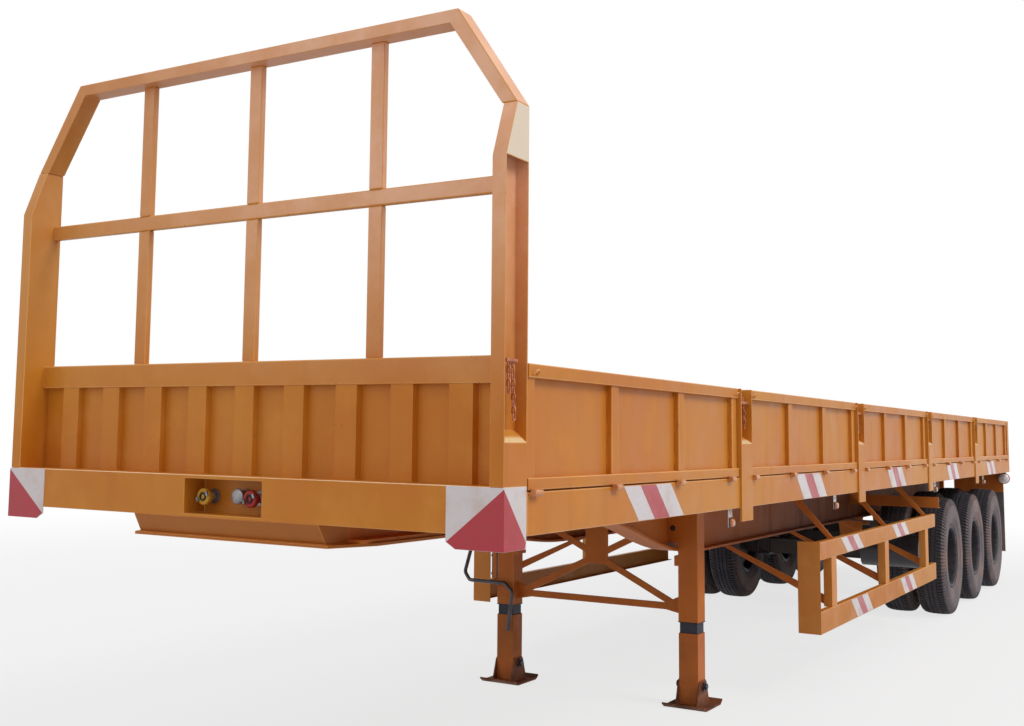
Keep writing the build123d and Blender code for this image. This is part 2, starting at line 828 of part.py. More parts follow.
def landing_bracing():
    d0, d1 = leg_d - tie_t / 2, leg_d + tie_t / 2
    shape = block(-leg_in, leg_in, d0, d1, tie_z, tie_z + tie_h)
    gusset = prism_y([(leg_in, tie_z - tie_gusset_low), (leg_in, tie_z + tie_gusset_high),
                      (leg_in - tie_gusset_l, tie_z + tie_h), (leg_in - tie_gusset_l, tie_z)], d0, d1)
    for g in both_sides(gusset):
        shape += g
    high = main_top - brace_head_drop
    foot = (leg_in - brace_foot_in, leg_d, tie_z + tie_h)
    head = (-web_face + brace_head_in, leg_d, high)
    for brace in both_sides(strut(foot, head, brace_h, tie_t)):
        shape += brace
    for plate in both_sides(block(web_face - brace_plate_w, web_face, d0, d1,
                                  high - brace_plate_half_h, high + brace_plate_half_h)):
        shape += plate
    half = center_plate_w / 2
    return [shape + block(-half, half, d0, d1, center_plate_bottom, main_top)]


def landing_cross_shaft():
    d = leg_d - (tie_t / 2 + cross_shaft_r + cross_shaft_gap)
    return [rod_x(cross_shaft_r, -web_face, web_face, d, main_top - cross_shaft_drop)]


def landing_crank():
    # gearbox on the right-hand leg and the folded crank that hangs in front of it
    x = -(leg_x + leg_w / 2)
    box = block(x - gearbox_w, x, leg_d - gearbox_half_d, leg_d + gearbox_half_d,
                gearbox_bottom, gearbox_top)
    shaft_z = crank_shaft_z
    front = leg_d - leg_w / 2 - crank_leg_gap - crank_r
    path_points = [(x - gearbox_w, leg_d, shaft_z), (x - 220, leg_d, shaft_z),
                   (x - 245, leg_d - leg_w / 2, shaft_z - 200), (x - 190, front, shaft_z - 245),
                   (x + 75, front, shaft_z - 248), (x + 128, front, shaft_z - 300),
                   (x + 96, front, shaft_z - 544)]
    path = FilletPolyline(*[(a, along(b), c) for a, b, c in path_points], radius=crank_bend_r)
    start = Plane(origin=path @ 0, z_dir=path % 0)
    return [box + sweep(start * Circle(crank_r), path=path)]


# ---- Side guards ----
def guard_rail(z0, z1):
    start, t = guard_front + guard_wall, guard_wall
    x0, x1 = guard_x - guard_depth, guard_x
    return block(x0, x1, start, guard_end, z0, z1) - block(x0, x1 - t, start, guard_end, z0 + t, z1 - t)


def guard_post_places():
    """Middles of the guard posts, under the cross members they hang from."""
    room = guard_post_w / 2 - cross_member_w / 2
    reached = [d for d in cross_member_starts()
               if d - room > guard_front + guard_wall and d + cross_member_w + room < guard_end]
    return [d + cross_member_w / 2 for d in reached[::guard_post_step]]


def side_guard_rails():
    low = guard_rail(guard_bottom, guard_bottom + guard_low_h)
    high = guard_rail(guard_top - guard_top_h, guard_top)
    return both_sides(low) + both_sides(high)


def side_guard_posts():
    low, high = guard_bottom + guard_low_h, guard_top - guard_top_h
    shapes = []
    for d in guard_post_places():
        shapes += both_sides(block(guard_x - guard_post_depth, guard_x - guard_wall,
                                   d - guard_post_w / 2, d + guard_post_w / 2, low, high))
    front = block(guard_x - guard_front_w, guard_x, guard_front, guard_front + guard_wall,
                  guard_bottom, guard_top)
    return shapes + both_sides(front)


def side_guard_stays():
    # lower stays run to the main beams and upper stays to the cross members
    shapes = []
    post_in, rail_in = guard_x - guard_post_depth, guard_x - guard_depth
    beam_edge = flange_edge - guard_stay_in
    foot = guard_bottom + guard_low_h
    w, t = guard_stay_w, guard_stay_t
    head = rail_in - guard_high_stay_rise_in
    for d in guard_post_places():
        low = [(beam_edge - w, main_beam_bottom), (beam_edge, main_beam_bottom),
               (post_in, foot + w), (post_in, foot)]
        high = [(rail_in, guard_top), (guard_x, guard_top), (head, main_top),
                (head - guard_high_stay_w, main_top)]
        for outline in (low, high):
            shapes += both_sides(prism_y(outline, d - t / 2, d + t / 2))
    return shapes


# ---- Running gear ----
def axle_d(index):
    return first_axle + index * axle_pitch


def axles():
    shapes = []
    h = axle_beam / 2
    end = drum_inner_face - hub_gap
    x = main_beam_x - chamber_in
    for i in range(axle_count):
        d = axle_d(i)
        back = d + h
        beam_end = end - axle_beam_end_in
        shape = block(-beam_end, beam_end, d - h, back, axle_z - h, axle_z + h)
        shape += rod_x(spindle_r, -end, end, d, axle_z)
        side = rod_x(shield_r, end - shield_t, end, d, axle_z)
        side += rod_y(chamber_r, x, back + chamber_gap, back + chamber_gap + chamber_l,
                      axle_z + chamber_rise)
        side += block(x - bracket_half_w, x + bracket_half_w, back, back + bracket_t,
                      axle_z - bracket_low, axle_z + bracket_high)
        side += rod_x(camshaft_r, x, end, back + camshaft_behind, axle_z - h + camshaft_rise)
        side += block(x - slack_half_w, x + slack_half_w, back, back + slack_l,
                      axle_z - h, axle_z - slack_top)
        for half in both_sides(side):
            shape += half
        shapes.append(shape)
    return shapes


def springs():
    shapes = []
    z0 = axle_z + axle_beam / 2
    seat, clamp, end = z0 + spring_seat_t, spring_clamp_half_l, spring_half
    eye = z0 + spring_eye_rise
    half_seat = spring_seat_w / 2
    for i in range(axle_count):
        d = axle_d(i)
        outline = [(d - end, eye), (d - clamp, seat), (d + clamp, seat), (d + end, eye),
                   (d + end, eye + spring_end_t), (d + clamp, z0 + spring_stack_t),
                   (d - clamp, z0 + spring_stack_t), (d - end, eye + spring_end_t)]
        spring = prism_x(outline, main_beam_x - spring_w / 2, main_beam_x + spring_w / 2)
        spring += block(main_beam_x - half_seat, main_beam_x + half_seat,
                        d - spring_seat_half_l, d + spring_seat_half_l, z0, seat)
        shapes += both_sides(spring)
    return shapes


def spring_hangers():
    # hollow brackets under the main beams that hold the spring ends
    shapes = []
    z0 = axle_z + axle_beam / 2 + spring_eye_rise + spring_end_t
    t, top, low = hanger_wall, hanger_top_half, hanger_bottom_half
    x0, x1 = main_beam_x - hanger_w / 2, main_beam_x + hanger_w / 2
    for i in range(axle_count + 1):
        d = axle_d(i) - axle_pitch / 2
        outer = [(d - top, main_beam_bottom), (d + top, main_beam_bottom), (d + low, z0), (d - low, z0)]
        inner = [(d - top + t, main_beam_bottom - t), (d + top - t, main_beam_bottom - t),
                 (d + low, z0 + t), (d - low, z0 + t)]
        shapes += both_sides(prism_x(outer, x0, x1) - prism_x(inner, x0 + t, x1 - t))
    return shapes


def air_tank():
    d = first_axle - tyre_d / 2 - tank_ahead
    x0 = flange_edge + tank_beam_gap
    x1 = guard_x - guard_depth - tank_guard_gap
    tank = rod_x(tank_r, x0, x1, d, tank_z)
    tank -= rod_x(tank_r - tank_wall, x0 + tank_wall, x1 - tank_wall, d, tank_z)
    carrier = main_beam_bottom - carrier_t
    half_t = tank_strap_t / 2
    for x in (x0 + tank_strap_in, x1 - tank_strap_in - tank_strap_w):
        tank += block(x, x + tank_strap_w, d - half_t, d + half_t, tank_z + tank_r - tank_wall, carrier)
    tank += block(main_beam_x, x1 - tank_strap_in, d - carrier_w / 2, d + carrier_w / 2,
                  carrier, main_beam_bottom)
    return [tank]


def mudguard_plates():
    # angle bars ahead of the first tyres and plates under the rear beam
    d = guard_end + mud_bar_guard_gap
    z0, z1, t = mud_bar_bottom, mud_bar_bottom + mud_bar_h, mud_bar_t
    angle = [(d, z0), (d + mud_bar_w, z0), (d + mud_bar_w, z0 + t), (d + t, z0 + t), (d + t, z1), (d, z1)]
    bar = prism_x(angle, web_outside, half_w - mud_bar_inset)
    front = rear_in + mud_plate_setback
    plate = block(mud_plate_in, half_w - mud_plate_inset, front, front + mud_plate_t,
                  beam_bottom - mud_plate_h, beam_bottom)
    return both_sides(bar) + both_sides(plate)


def mudflaps():
    d = rear_in + mud_plate_setback + mud_plate_t
    return both_sides(block(mud_plate_in + mudflap_side, half_w - mud_plate_inset, d, d + mudflap_t,
                            mudflap_bottom, beam_bottom - mud_plate_h + mudflap_lap))


def rear_bumper():
    d1 = body_length - bumper_rear_gap
    d0 = d1 - bumper_depth
    top = bumper_bottom + bumper_h
    end = half_w - bumper_inset
    bar = closed_tube(-end, end, d0, d1, bumper_bottom, top, bumper_wall)
    half = bumper_hanger_w / 2
    for hanger in both_sides(block(main_beam_x - half, main_beam_x + half, d0, d1, top,
                                   beam_bottom)):
        bar += hanger
    return [bar]


def rear_lamps():
    d1 = body_length - rear_lamp_out
    out = half_w - rear_lamp_inset
    box = block(out - rear_lamp_w, out, d1 - rear_lamp_depth, d1, beam_bottom - rear_lamp_h, beam_bottom)
    d1 = body_length - corner_lamp_rear_gap
    d0 = d1 - corner_lamp_l
    corner = rod_y(corner_lamp_r, half_w - corner_lamp_inset, d0, d1, beam_bottom - corner_lamp_drop)
    inset = corner_lamp_foot_in
    corner += block(side_in, side_in + corner_lamp_foot, d0 + inset, d1 - inset,
                    beam_bottom - corner_lamp_foot_h, beam_bottom)
    return both_sides(box) + both_sides(corner)


def side_lamps():
    shapes = []
    out = half_w - side_lamp_inset
    half = side_lamp_l / 2
    for index, offset in zip(range(1, bay_count), side_lamp_offsets):
        d = post_start(index) + offset
        shapes += both_sides(block(out - side_lamp_w, out, d - half, d + half,
                                   beam_bottom - side_lamp_h, beam_bottom))
    return shapes


def service_couplings():
    z = (bolster_bottom + deck_height) / 2
    shapes = [rod_y(socket_r, socket_x, socket_front, recess_depth, z)]
    for x in (line_coupling_left, -line_coupling_right):
        shapes.append(rod_y(line_coupling_r, x, line_coupling_front, recess_depth,
                            z - line_coupling_drop))
    return shapes


# ---- Wheels ----
def tyre(x_mid):
    """One tyre: a hollow casing, open towards the rim."""
    r, rb, w = tyre_d / 2, rim_d / 2 + rim_bead_h, tyre_width
    side, tread = tyre_side_wall, tyre_tread_wall
    outer = [(rb, -w * rim_half_share), (rb + 40, -w * 0.44), ((r + rb) / 2, -w / 2),
             (r - 70, -w * 0.47), (r - 22, -w * 0.41), (r - 8, -w * 0.34), (r, -w * 0.16)]
    inner = [(rb, -w * rim_half_share + side), (rb + 40, -w * 0.44 + side),
             ((r + rb) / 2, -w / 2 + side), (r - 70, -w * 0.4 + side), (r - tread, -w * 0.2)]
    outline = outer + [(a, -b) for a, b in reversed(outer)]
    outline += [(a, -b) for a, b in inner] + list(reversed(inner))
    wire = Wire.make_polygon([Vector(b, 0, a) for a, b in outline], close=True)
    return Pos(x_mid, 0, 0) * Solid.revolve(Face(wire), 360, Axis.X)


def ring_x(outer_r, inner_r, x0, x1):
    """Ring round the wheel's axis between two x places."""
    turn = Pos((x0 + x1) / 2, 0, 0) * Rot(0, 90, 0)
    ring = turn * Cylinder(outer_r, x1 - x0)
    return ring - turn * Cylinder(inner_r, x1 - x0) if inner_r else ring


def wheel_center():
    """Two rims with discs, bolted back to back on a hub with its brake drum."""
    rb = rim_d / 2 + rim_bead_h - rim_fit_gap
    half = tyre_width * rim_half_share
    mid = wheel_mid_x
    outer = ring_x(rb, rb - rim_wall, mid, outer_tyre_x + half)
    inner = ring_x(rb, rb - rim_wall, inner_tyre_x - half, mid)
    disc = ring_x(rb - 2, disc_bore_r, mid - disc_t, mid + disc_t)
    hub = ring_x(hub_r, 0, mid + hub_offset - hub_l / 2, mid + hub_offset + hub_l / 2)
    cap_mid = mid + hub_cap_offset
    cap = ring_x(hub_cap_r, 0, cap_mid - hub_cap_l / 2, cap_mid + hub_cap_l / 2)
    drum_back = mid - disc_t - drum_w
    drum = ring_x(drum_r, 0, drum_back, mid - disc_t)
    drum -= ring_x(drum_r - drum_wall, bearing_r, drum_back, mid - disc_t - drum_back_t)
    return outer + inner + disc + hub + cap + drum


def place_wheel(shape, index):
    return Pos(0, along(axle_d(index)), axle_z) * shape


os.makedirs("parts", exist_ok=True)

write("main_beams", both_sides(main_beam()))
write("cross_members", cross_members())
write("side_beams", side_beams())
write("front_bolster", front_bolster())
write("rear_beam", rear_beam())
write("deck_floor", deck_floor())
write("coupler_plate", coupler_plate())
write("kingpin", kingpin())
write("headboard_posts", headboard_posts())
write("headboard_top", headboard_top())
write("headboard_rails", headboard_rails())
write("headboard_uprights", headboard_uprights())
write("headboard_panel", headboard_panel())
write("corner_markers", corner_markers())
write("stake_posts", stake_posts())
write("rear_posts", rear_posts())
write("panel_latches", panel_latches())
write("landing_legs", landing_legs())
write("landing_inner_legs", landing_inner_legs())
write("landing_feet", landing_feet())
write("landing_bracing", landing_bracing())
write("landing_cross_shaft", landing_cross_shaft())
write("landing_crank", landing_crank())
write("side_guard_rails", side_guard_rails())
write("side_guard_posts", side_guard_posts())
write("side_guard_stays", side_guard_stays())
write("axles", axles())
write("springs", springs())
write("spring_hangers", spring_hangers())
write("air_tank", air_tank())
write("mudguard_plates", mudguard_plates())
write("mudflaps", mudflaps())
write("rear_bumper", rear_bumper())
write("rear_lamps", rear_lamps())
write("side_lamps", side_lamps())
write("service_couplings", service_couplings())

panel = flat_panel(side_panel_length, side_hinges)
hinge_parts = hinge_set(side_hinges)
fixed_hinges = []
for i in range(bay_count):
    left, right = both_sides(place_side(panel, i))
    write(f"side_panel_left_{i + 1}", [left])
    write(f"side_panel_right_{i + 1}", [right])
    for part in hinge_parts:
        fixed_hinges += both_sides(place_side(part, i))
write("rear_gate", [place_rear(flat_panel(rear_gate_length, gate_hinges))])
for part in hinge_set(gate_hinges):
    fixed_hinges.append(place_rear(part))
write("panel_hinges", fixed_hinges)

tyre_pair = [tyre(outer_tyre_x), tyre(inner_tyre_x)]
center = wheel_center()
for i in range(axle_count):
    for side, mirrored in (("left", False), ("right", True)):
        tyres = [place_wheel(t, i) for t in tyre_pair]
        rims = place_wheel(center, i)
        if mirrored:
            tyres = [t.mirror(Plane.YZ) for t in tyres]
            rims = rims.mirror(Plane.YZ)
        write(f"tyres_{side}_{i + 1}", tyres)
        write(f"wheel_{side}_{i + 1}", [rims])
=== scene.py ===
import json
import random
from math import copysign, cos, pi, radians, sin, tan

import bpy
from mathutils import Matrix, Vector


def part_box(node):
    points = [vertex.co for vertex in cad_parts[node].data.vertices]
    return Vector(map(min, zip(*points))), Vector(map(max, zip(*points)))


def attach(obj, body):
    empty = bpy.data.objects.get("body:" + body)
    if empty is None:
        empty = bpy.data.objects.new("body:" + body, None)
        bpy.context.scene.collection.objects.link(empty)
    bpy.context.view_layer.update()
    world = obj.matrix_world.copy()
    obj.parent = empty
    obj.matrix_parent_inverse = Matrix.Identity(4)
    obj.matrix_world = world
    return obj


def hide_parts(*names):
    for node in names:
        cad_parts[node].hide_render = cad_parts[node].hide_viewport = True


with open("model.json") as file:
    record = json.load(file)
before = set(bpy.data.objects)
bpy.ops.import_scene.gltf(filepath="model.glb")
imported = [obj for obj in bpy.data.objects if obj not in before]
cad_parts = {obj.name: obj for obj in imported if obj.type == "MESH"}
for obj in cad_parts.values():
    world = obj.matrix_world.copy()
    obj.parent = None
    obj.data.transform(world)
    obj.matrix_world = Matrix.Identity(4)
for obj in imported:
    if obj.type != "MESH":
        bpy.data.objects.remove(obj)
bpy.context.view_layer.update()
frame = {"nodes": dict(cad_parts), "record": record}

# Looks of a tri-axle dropside semi-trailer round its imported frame, in metres.
# The kingpin end faces -Y and +X is the trailer's left-hand side.

rng = random.Random(720)
scene = bpy.context.scene


# ---- Places, read from the frame ----
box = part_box
O, X, Y, Z = (Vector(v) for v in ((0, 0, 0), (1, 0, 0), (0, 1, 0), (0, 0, 1)))
FRONT = box("front_bolster")[0].y   # front face of the bolster
HALF_W = box("side_beams")[1].x   # outer face of the side beams
BEAM_LOW, BEAM_TOP = (corner.z for corner in box("side_beams"))
DECK_Z = box("deck_floor")[1].z
PANEL_TOP = box("rear_posts")[1].z
GUARD_X = box("side_guard_rails")[1].x
AXLES, BAYS = (1, 2, 3), (1, 2, 3, 4, 5)
SIDES = (("left", 1), ("right", -1))
TURNS = {1: Matrix.Identity(4), -1: Matrix.Rotation(pi, 4, "Z")}   # what faces +X, set on either side
WHEELS = {}   # middle of each axle
for n in AXLES:
    low, high = box(f"tyres_left_{n}")
    WHEELS[n] = Vector((0, (low.y + high.y) / 2, (low.z + high.z) / 2))
low, high = box("tyres_left_1")
TYRE_R, TYRE_W = (high.z - low.z) / 2, 0.275
OUTER_X, INNER_X = high.x - TYRE_W / 2, low.x + TYRE_W / 2
MID_X = (OUTER_X + INNER_X) / 2
SLEEVE_TOP = box("landing_legs")[0].z - 0.062   # the inner legs are painted up to here
SLOPE_Z, SLOPE_H = DECK_Z + 0.149, 0.04   # sloping plate that closes a post's lower half


# ---- Materials ----
LOOKS = {}   # materials by name


def linear(code):
    """A colour written 0xRRGGBB, as it shows, as the linear one that nodes take."""
    shown = [part / 255 for part in code.to_bytes(3, "big")]
    return (*(c / 12.92 if c <= 0.04045 else ((c + 0.055) / 1.055) ** 2.4 for c in shown), 1)


class Tree:
    """Short names for shader nodes. Patterns follow object coordinates, in metres."""

    def __init__(self, owner, output="Material"):
        owner.use_nodes = True
        self.nodes, self.links = owner.node_tree.nodes, owner.node_tree.links
        self.nodes.clear()
        self.surface = self.nodes.new("ShaderNodeOutput" + output).inputs["Surface"]
        self.place = self.node("TexCoord", output="Object")

    def feed(self, socket, value):
        if isinstance(value, bpy.types.NodeSocket):
            self.links.new(value, socket)
        else:
            socket.default_value = linear(value) if socket.type == "RGBA" and isinstance(value, int) else value

    def node(self, kind, inputs=(), output=0, **settings):
        """One output of a new node. inputs are its first ones in order, or a dict of chosen ones."""
        n = self.nodes.new("ShaderNode" + kind)
        for key, value in settings.items():
            setattr(n, key, value)
        for key, value in inputs.items() if isinstance(inputs, dict) else enumerate(inputs):
            if value is not None:
                self.feed(n.inputs[key], value)
        return n.outputs[output]

    def noise(self, scale, detail=3, rough=0.5, shift=0, stretch=(1, 1, 1)):
        where = self.node("Mapping", dict(Vector=self.place, Scale=stretch, Location=(shift, shift * 0.7, shift * 1.3)))
        return self.node("TexNoise", dict(Vector=where, Scale=scale, Detail=detail, Roughness=rough), "Fac")

    def cells(self, scale, feature="F1"):
        return self.node("TexVoronoi", dict(Vector=self.place, Scale=scale), "Distance", feature=feature)

    def along(self, axis):
        """Object coordinate along X, Y or Z."""
        return self.node("SeparateXYZ", (self.place,), axis)

    def ramp(self, value, start, end, low=0, high=1, kind="SMOOTHSTEP"):
        return self.node("MapRange", (value, start, end, low, high), interpolation_type=kind)

    def math(self, operation, a, b):
        return self.node("Math", (a, b), operation=operation)

    def times(self, a, b):
        return self.math("MULTIPLY", a, b)

    def mix(self, share, a, b):
        return self.node("Mix", {0: share, 6: a, 7: b}, 2, data_type="RGBA")


def look(name):
    LOOKS[name] = bpy.data.materials.new(name)
    return LOOKS[name]


class Graph(Tree):
    """A material round one principled shader."""

    def __init__(self, name, **sockets):
        super().__init__(look(name))
        self.shader = self.nodes.new("ShaderNodeBsdfPrincipled")
        self.feed(self.surface, self.shader.outputs[0])
        for key, value in sockets.items():
            self.set(key.replace("_", " "), value)

    def set(self, socket, value):
        self.feed(self.shader.inputs[socket], value)

    def finish(self, colour, rough, *layers):
        """Each layer of bumps is (height, strength, depth in metres)."""
        self.set("Base Color", colour)
        self.set("Roughness", rough)
        normal = None
        for height, strength, depth in layers:
            normal = self.node("Bump", dict(Height=height, Strength=strength, Distance=depth, Normal=normal))
        self.set("Normal", normal)


ORANGE = (0xCA8326, 0xC27018, 0xD8923E)
DIRT, MUD, PRIMER = 0x925C30, 0x885432, 0x784228


def paint(name, base, deep, light, dirt, rough=0.42, chips=0.12, grime=0.3, above=None, painted_haze_side=None, glare=None,
          dirt_and_painted_shade=None):
    """Sprayed enamel on rolled steel: patchy tone, soft rain streaks, road dirt low down and small chips.
    above is (start, end, one colour, another), a change of colour between two heights; in some calls it is a real
    second colour, in others a painted highlight or a painted haze of light.
    painted_haze_side is (x, x, share, share), how strong that change is from one side to the other, for a painted haze
    of light that is stronger on one side.
    glare is (x, height, colour), painted glare: pale outer faces beyond x to either side and above a height.
    dirt_and_painted_shade is (start, end, share, colour), a darkening that grows towards the wheels along Y: road dirt
    and painted shade under the deck."""
    g = Graph(name, Specular_IOR_Level=0.32)
    colour = g.mix(g.ramp(g.noise(0.55, 4, 0.55, 3.1), 0.34, 0.66), base, deep)
    cloud = g.noise(5, 6, 0.6, 9)
    colour = g.mix(g.ramp(cloud, 0.46, 0.8, 0, 0.45), colour, light)
    streak = g.noise(1, 5, 0.62, stretch=(9, 9, 1.3), shift=5)
    streak_share = g.ramp(streak, 0.5, 0.8, 0, grime * 0.55)
    colour = g.mix(streak_share, colour, dirt)
    low = g.ramp(g.along("Z"), 0.25, 1.2, 1, 0)
    splash = g.times(low, g.ramp(g.noise(3.5, 6, 0.65, 2), 0.38, 0.7, 0.08, 0.8))
    colour = g.mix(g.times(splash, min(1, 1.2 * grime)), colour, dirt)
    spots, where = g.noise(46, 8, 0.68, 1), g.noise(2.3, 3, shift=7)
    chip = g.times(g.ramp(spots, 0.655, 0.675), g.ramp(where, 0.5, 0.6, 0, chips * 5))
    chip = g.math("MINIMUM", chip, 1)
    colour = g.mix(chip, colour, PRIMER)
    # road dirt and painted shade under the deck, darker towards the wheels along Y
    if dirt_and_painted_shade:
        start, end, most, mud = dirt_and_painted_shade
        patches = g.ramp(streak, 0.3, 0.7, 0.75, 1)
        colour = g.mix(g.times(g.ramp(g.along("Y"), start, end, 0, most), patches), colour, mud)
    # a change of colour with height: a real second colour in some calls, a painted highlight or painted haze of light
    # in others
    if above:
        start, end, one, other = above
        share = g.ramp(g.along("Z"), start, end)
        # painted haze of light, stronger towards one side
        if painted_haze_side:
            share = g.times(share, g.ramp(g.along("X"), *painted_haze_side))
        colour = g.mix(share, colour, g.mix(g.ramp(cloud, 0.35, 0.65), one, other))
    # painted glare: pale outermost faces high up
    if glare:
        x, start, pale = glare
        outside = g.math("GREATER_THAN", g.math("ABSOLUTE", g.along("X"), 0), x)
        colour = g.mix(g.times(outside, g.ramp(g.along("Z"), start, start + 0.004)), colour, pale)
    dull = g.math("ADD", g.times(streak_share, 0.5), g.ramp(cloud, 0.3, 0.8, rough - 0.05, rough + 0.1))
    g.finish(colour, g.math("ADD", dull, g.times(splash, 0.2)), (g.noise(1.9, 2, shift=4), 0.35, 0.004),
             (g.noise(170, 2), 0.12, 0.0004), (chip, 0.5, 0.0004))


paint("body_paint", *ORANGE, DIRT)
paint("guard_paint", 0xD68E3E, 0xCC7E30, 0xE09E58, DIRT, 0.42, 0.12, 0.12)
# lighter paint on eased edges: rubbed paint with chips, and a painted highlight
paint("edge_paint", 0xE2A25A, 0xD68C3E, 0xEEBE80, DIRT, 0.34, 0.35, 0.2)
# painted haze of light: a pinkish wash over the headboard's upper parts, stronger towards +X, and painted glare on the
# outermost faces
paint("bleached_paint", *ORANGE, DIRT, above=(1.5, 2.7, 0xE4A67C, 0xEEB896),
      painted_haze_side=(-1.3, 0.6, 0.2, 1), glare=(HALF_W - 0.0005, box("headboard_top")[0].z - 0.204, 0xE6D4BE))
# painted highlight: cream along the bolster's top edges at the deck
paint("ledge_paint", 0xD89242, 0xCE842E, 0xE4AA64, DIRT, 0.32, 0.3, 0.2,
      above=(DECK_Z - 0.01, DECK_Z - 0.004, 0xF0C292, 0xF6D8B2))
# darker paint on the coupler plate: road dirt and painted shade under the bolster
paint("coupler_paint", 0xB46C26, 0xA65E1E, 0xC07A38, MUD, 0.5, 0.3, 0.5)
paint("under_paint", 0xD67A28, 0xC66A22, 0xDE8C3C, MUD, 0.5, 0.2, 0.5)
# lighter paint on the eased edges of under parts: rubbed paint with chips, and a painted highlight
paint("under_edge", 0xDE8C3E, 0xCE7830, 0xE69C54, MUD, 0.45, 0.4, 0.4)
# main beams and cross members: darker along Y towards the wheels, road dirt and painted shade under the deck
paint("beam_paint", 0xD2762A, 0xC06624, 0xDA883C, MUD, 0.55, 0.2, 0.6,
      dirt_and_painted_shade=(FRONT + 3.5, FRONT + 6.5, 0.85, 0x54342C))
paint("inner_leg_paint", 0xCE7428, 0xBC6422, 0xD6863C, MUD, 0.48, 0.3, 0.5,
      above=(SLEEVE_TOP - 0.001, SLEEVE_TOP + 0.001, 0x222634, 0x343642))
# painted highlight: cream on the lower part of each post's sloping plate, turning to orange paint higher up the slope
paint("highlight_cream_paint", 0xF6E2BA, 0xF0CE96, 0xFAEED4, 0xCE965C, 0.3, 0.1, 0.35,
      above=(SLOPE_Z + 0.3 * SLOPE_H, SLOPE_Z + 0.62 * SLOPE_H, ORANGE[0], ORANGE[2]))
paint("yellow_plastic", 0xCE9E30, 0xBA8428, 0xDCB450, 0x6E5034, 0.5, 0.1, 0.4)
paint("red_plastic", 0xAA302C, 0x922828, 0xBE4C42, 0x603E34, 0.5, 0.1, 0.4)


def metal(name, base, other, rough, metallic, rust=0, rust_colour=0x683A26, grain=60):
    """Bare or oiled steel, mottled, with rust blooming in patches."""
    g = Graph(name, Metallic=metallic)
    cloud = g.noise(grain * 0.4, 5, 0.6, 2)
    colour = g.mix(g.ramp(cloud, 0.35, 0.68), base, other)
    bloom = g.noise(grain * 0.16, 6, 0.7, 6)
    share = g.ramp(bloom, 0.62 - 0.3 * rust, 0.74 - 0.2 * rust, 0, min(1, rust * 2))
    if metallic and rust:
        g.set("Metallic", g.ramp(share, 0, 1, metallic, 0.1))
    dull = g.math("ADD", g.ramp(cloud, 0.3, 0.7, rough - 0.08, rough + 0.1), g.times(share, 0.25))
    g.finish(g.mix(share, colour, rust_colour), dull, (g.noise(grain, 4, 0.6), 0.4, 0.0003), (share, 0.4, 0.0003))


metal("bare_steel", 0x96928E, 0x76706C, 0.34, 0.9, 0.12)
metal("dark_steel", 0x3E3C44, 0x302E34, 0.45, 0.35, 0.15)
metal("black_iron", 0x343030, 0x463A32, 0.62, 0.1, 0.3)
metal("chain_steel", 0xC07854, 0xA46042, 0.45, 0.2, 0.3)
metal("hinge_steel", 0xD8965C, 0xBE7642, 0.26, 0.1, 0.1)
metal("wheel_steel", 0x403C42, 0x322E34, 0.5, 0.3, 0.2)
metal("crank_steel", 0x544E54, 0x3E3A40, 0.36, 0.4, 0.12)
metal("foot_rust", 0x804A28, 0x6C3A20, 0.7, 0, 0.5, 0x543020, 24)
metal("hub_steel", 0x7A6C64, 0x5C504C, 0.48, 0.4, 0.25)
metal("tank_black", 0x303038, 0x3E3A3C, 0.42, 0, 0.1)
metal("coupling_metal", 0x969496, 0x706C6E, 0.4, 0.7, 0.1)
metal("lamp_shell", 0x28282C, 0x343234, 0.55, 0)
metal("seal_rubber", 0x242224, 0x322E2E, 0.75, 0)


def deck():
    """Worn chequered floor: bare steel on the high spots, paint and dust in the low ones."""
    g = Graph("deck_steel")
    worn = g.noise(1.1, 6, 0.65, 8)
    share = g.ramp(worn, 0.42, 0.6)
    steel = g.mix(g.ramp(g.noise(16, 5), 0.3, 0.7), 0x7A6C62, 0x62544C)
    colour = g.mix(share, steel, g.mix(g.ramp(g.noise(9, 4), 0.4, 0.7), 0x926848, 0x7C5840))
    colour = g.mix(g.ramp(g.noise(3, 7, 0.7, 1.5), 0.55, 0.75, 0, 0.6), colour, 0x6C4A38)
    g.set("Metallic", g.ramp(share, 0, 1, 0.55, 0))
    g.finish(colour, g.ramp(worn, 0.3, 0.7, 0.38, 0.62), (g.noise(1.4, 3), 0.3, 0.004), (g.noise(90, 4), 0.3, 0.0004))


def rubber(name, base, dry, mud, most):
    """Old tyre rubber with dry dust; most is the largest share of brown road dust."""
    g = Graph(name)
    dust = g.noise(5, 6, 0.65, 4)
    fine = g.noise(40, 5, 0.6)
    colour = g.mix(g.ramp(dust, 0.3, 0.68, 0.25, 0.95), base, dry)
    colour = g.mix(g.ramp(fine, 0.45, 0.7, 0, 0.5), colour, base)
    colour = g.mix(g.ramp(g.noise(2.6, 5, shift=2.2), 0.44, 0.66, 0, most), colour, mud)
    g.finish(colour, g.ramp(dust, 0.3, 0.7, 0.68, 0.9), (g.noise(14, 5, 0.6), 0.3, 0.001),
             (g.noise(240, 3), 0.25, 0.0004))


def tape(name, base, other, worn):
    """Retroreflective sheet: a fine honeycomb under a glossy, slightly soiled face."""
    g = Graph(name, Coat_Weight=0.25, Coat_Roughness=0.2)
    comb = g.cells(150, "DISTANCE_TO_EDGE")
    colour = g.mix(g.ramp(comb, 0, 0.12, 0.35, 0), base, other)
    soil = g.noise(6, 6, 0.65, 3)
    g.finish(g.mix(g.ramp(soil, 0.48, 0.76, 0, 0.5), colour, worn), g.ramp(soil, 0.3, 0.75, 0.26, 0.5),
             (comb, 0.15, 0.0003), (g.noise(3, 3), 0.2, 0.002))


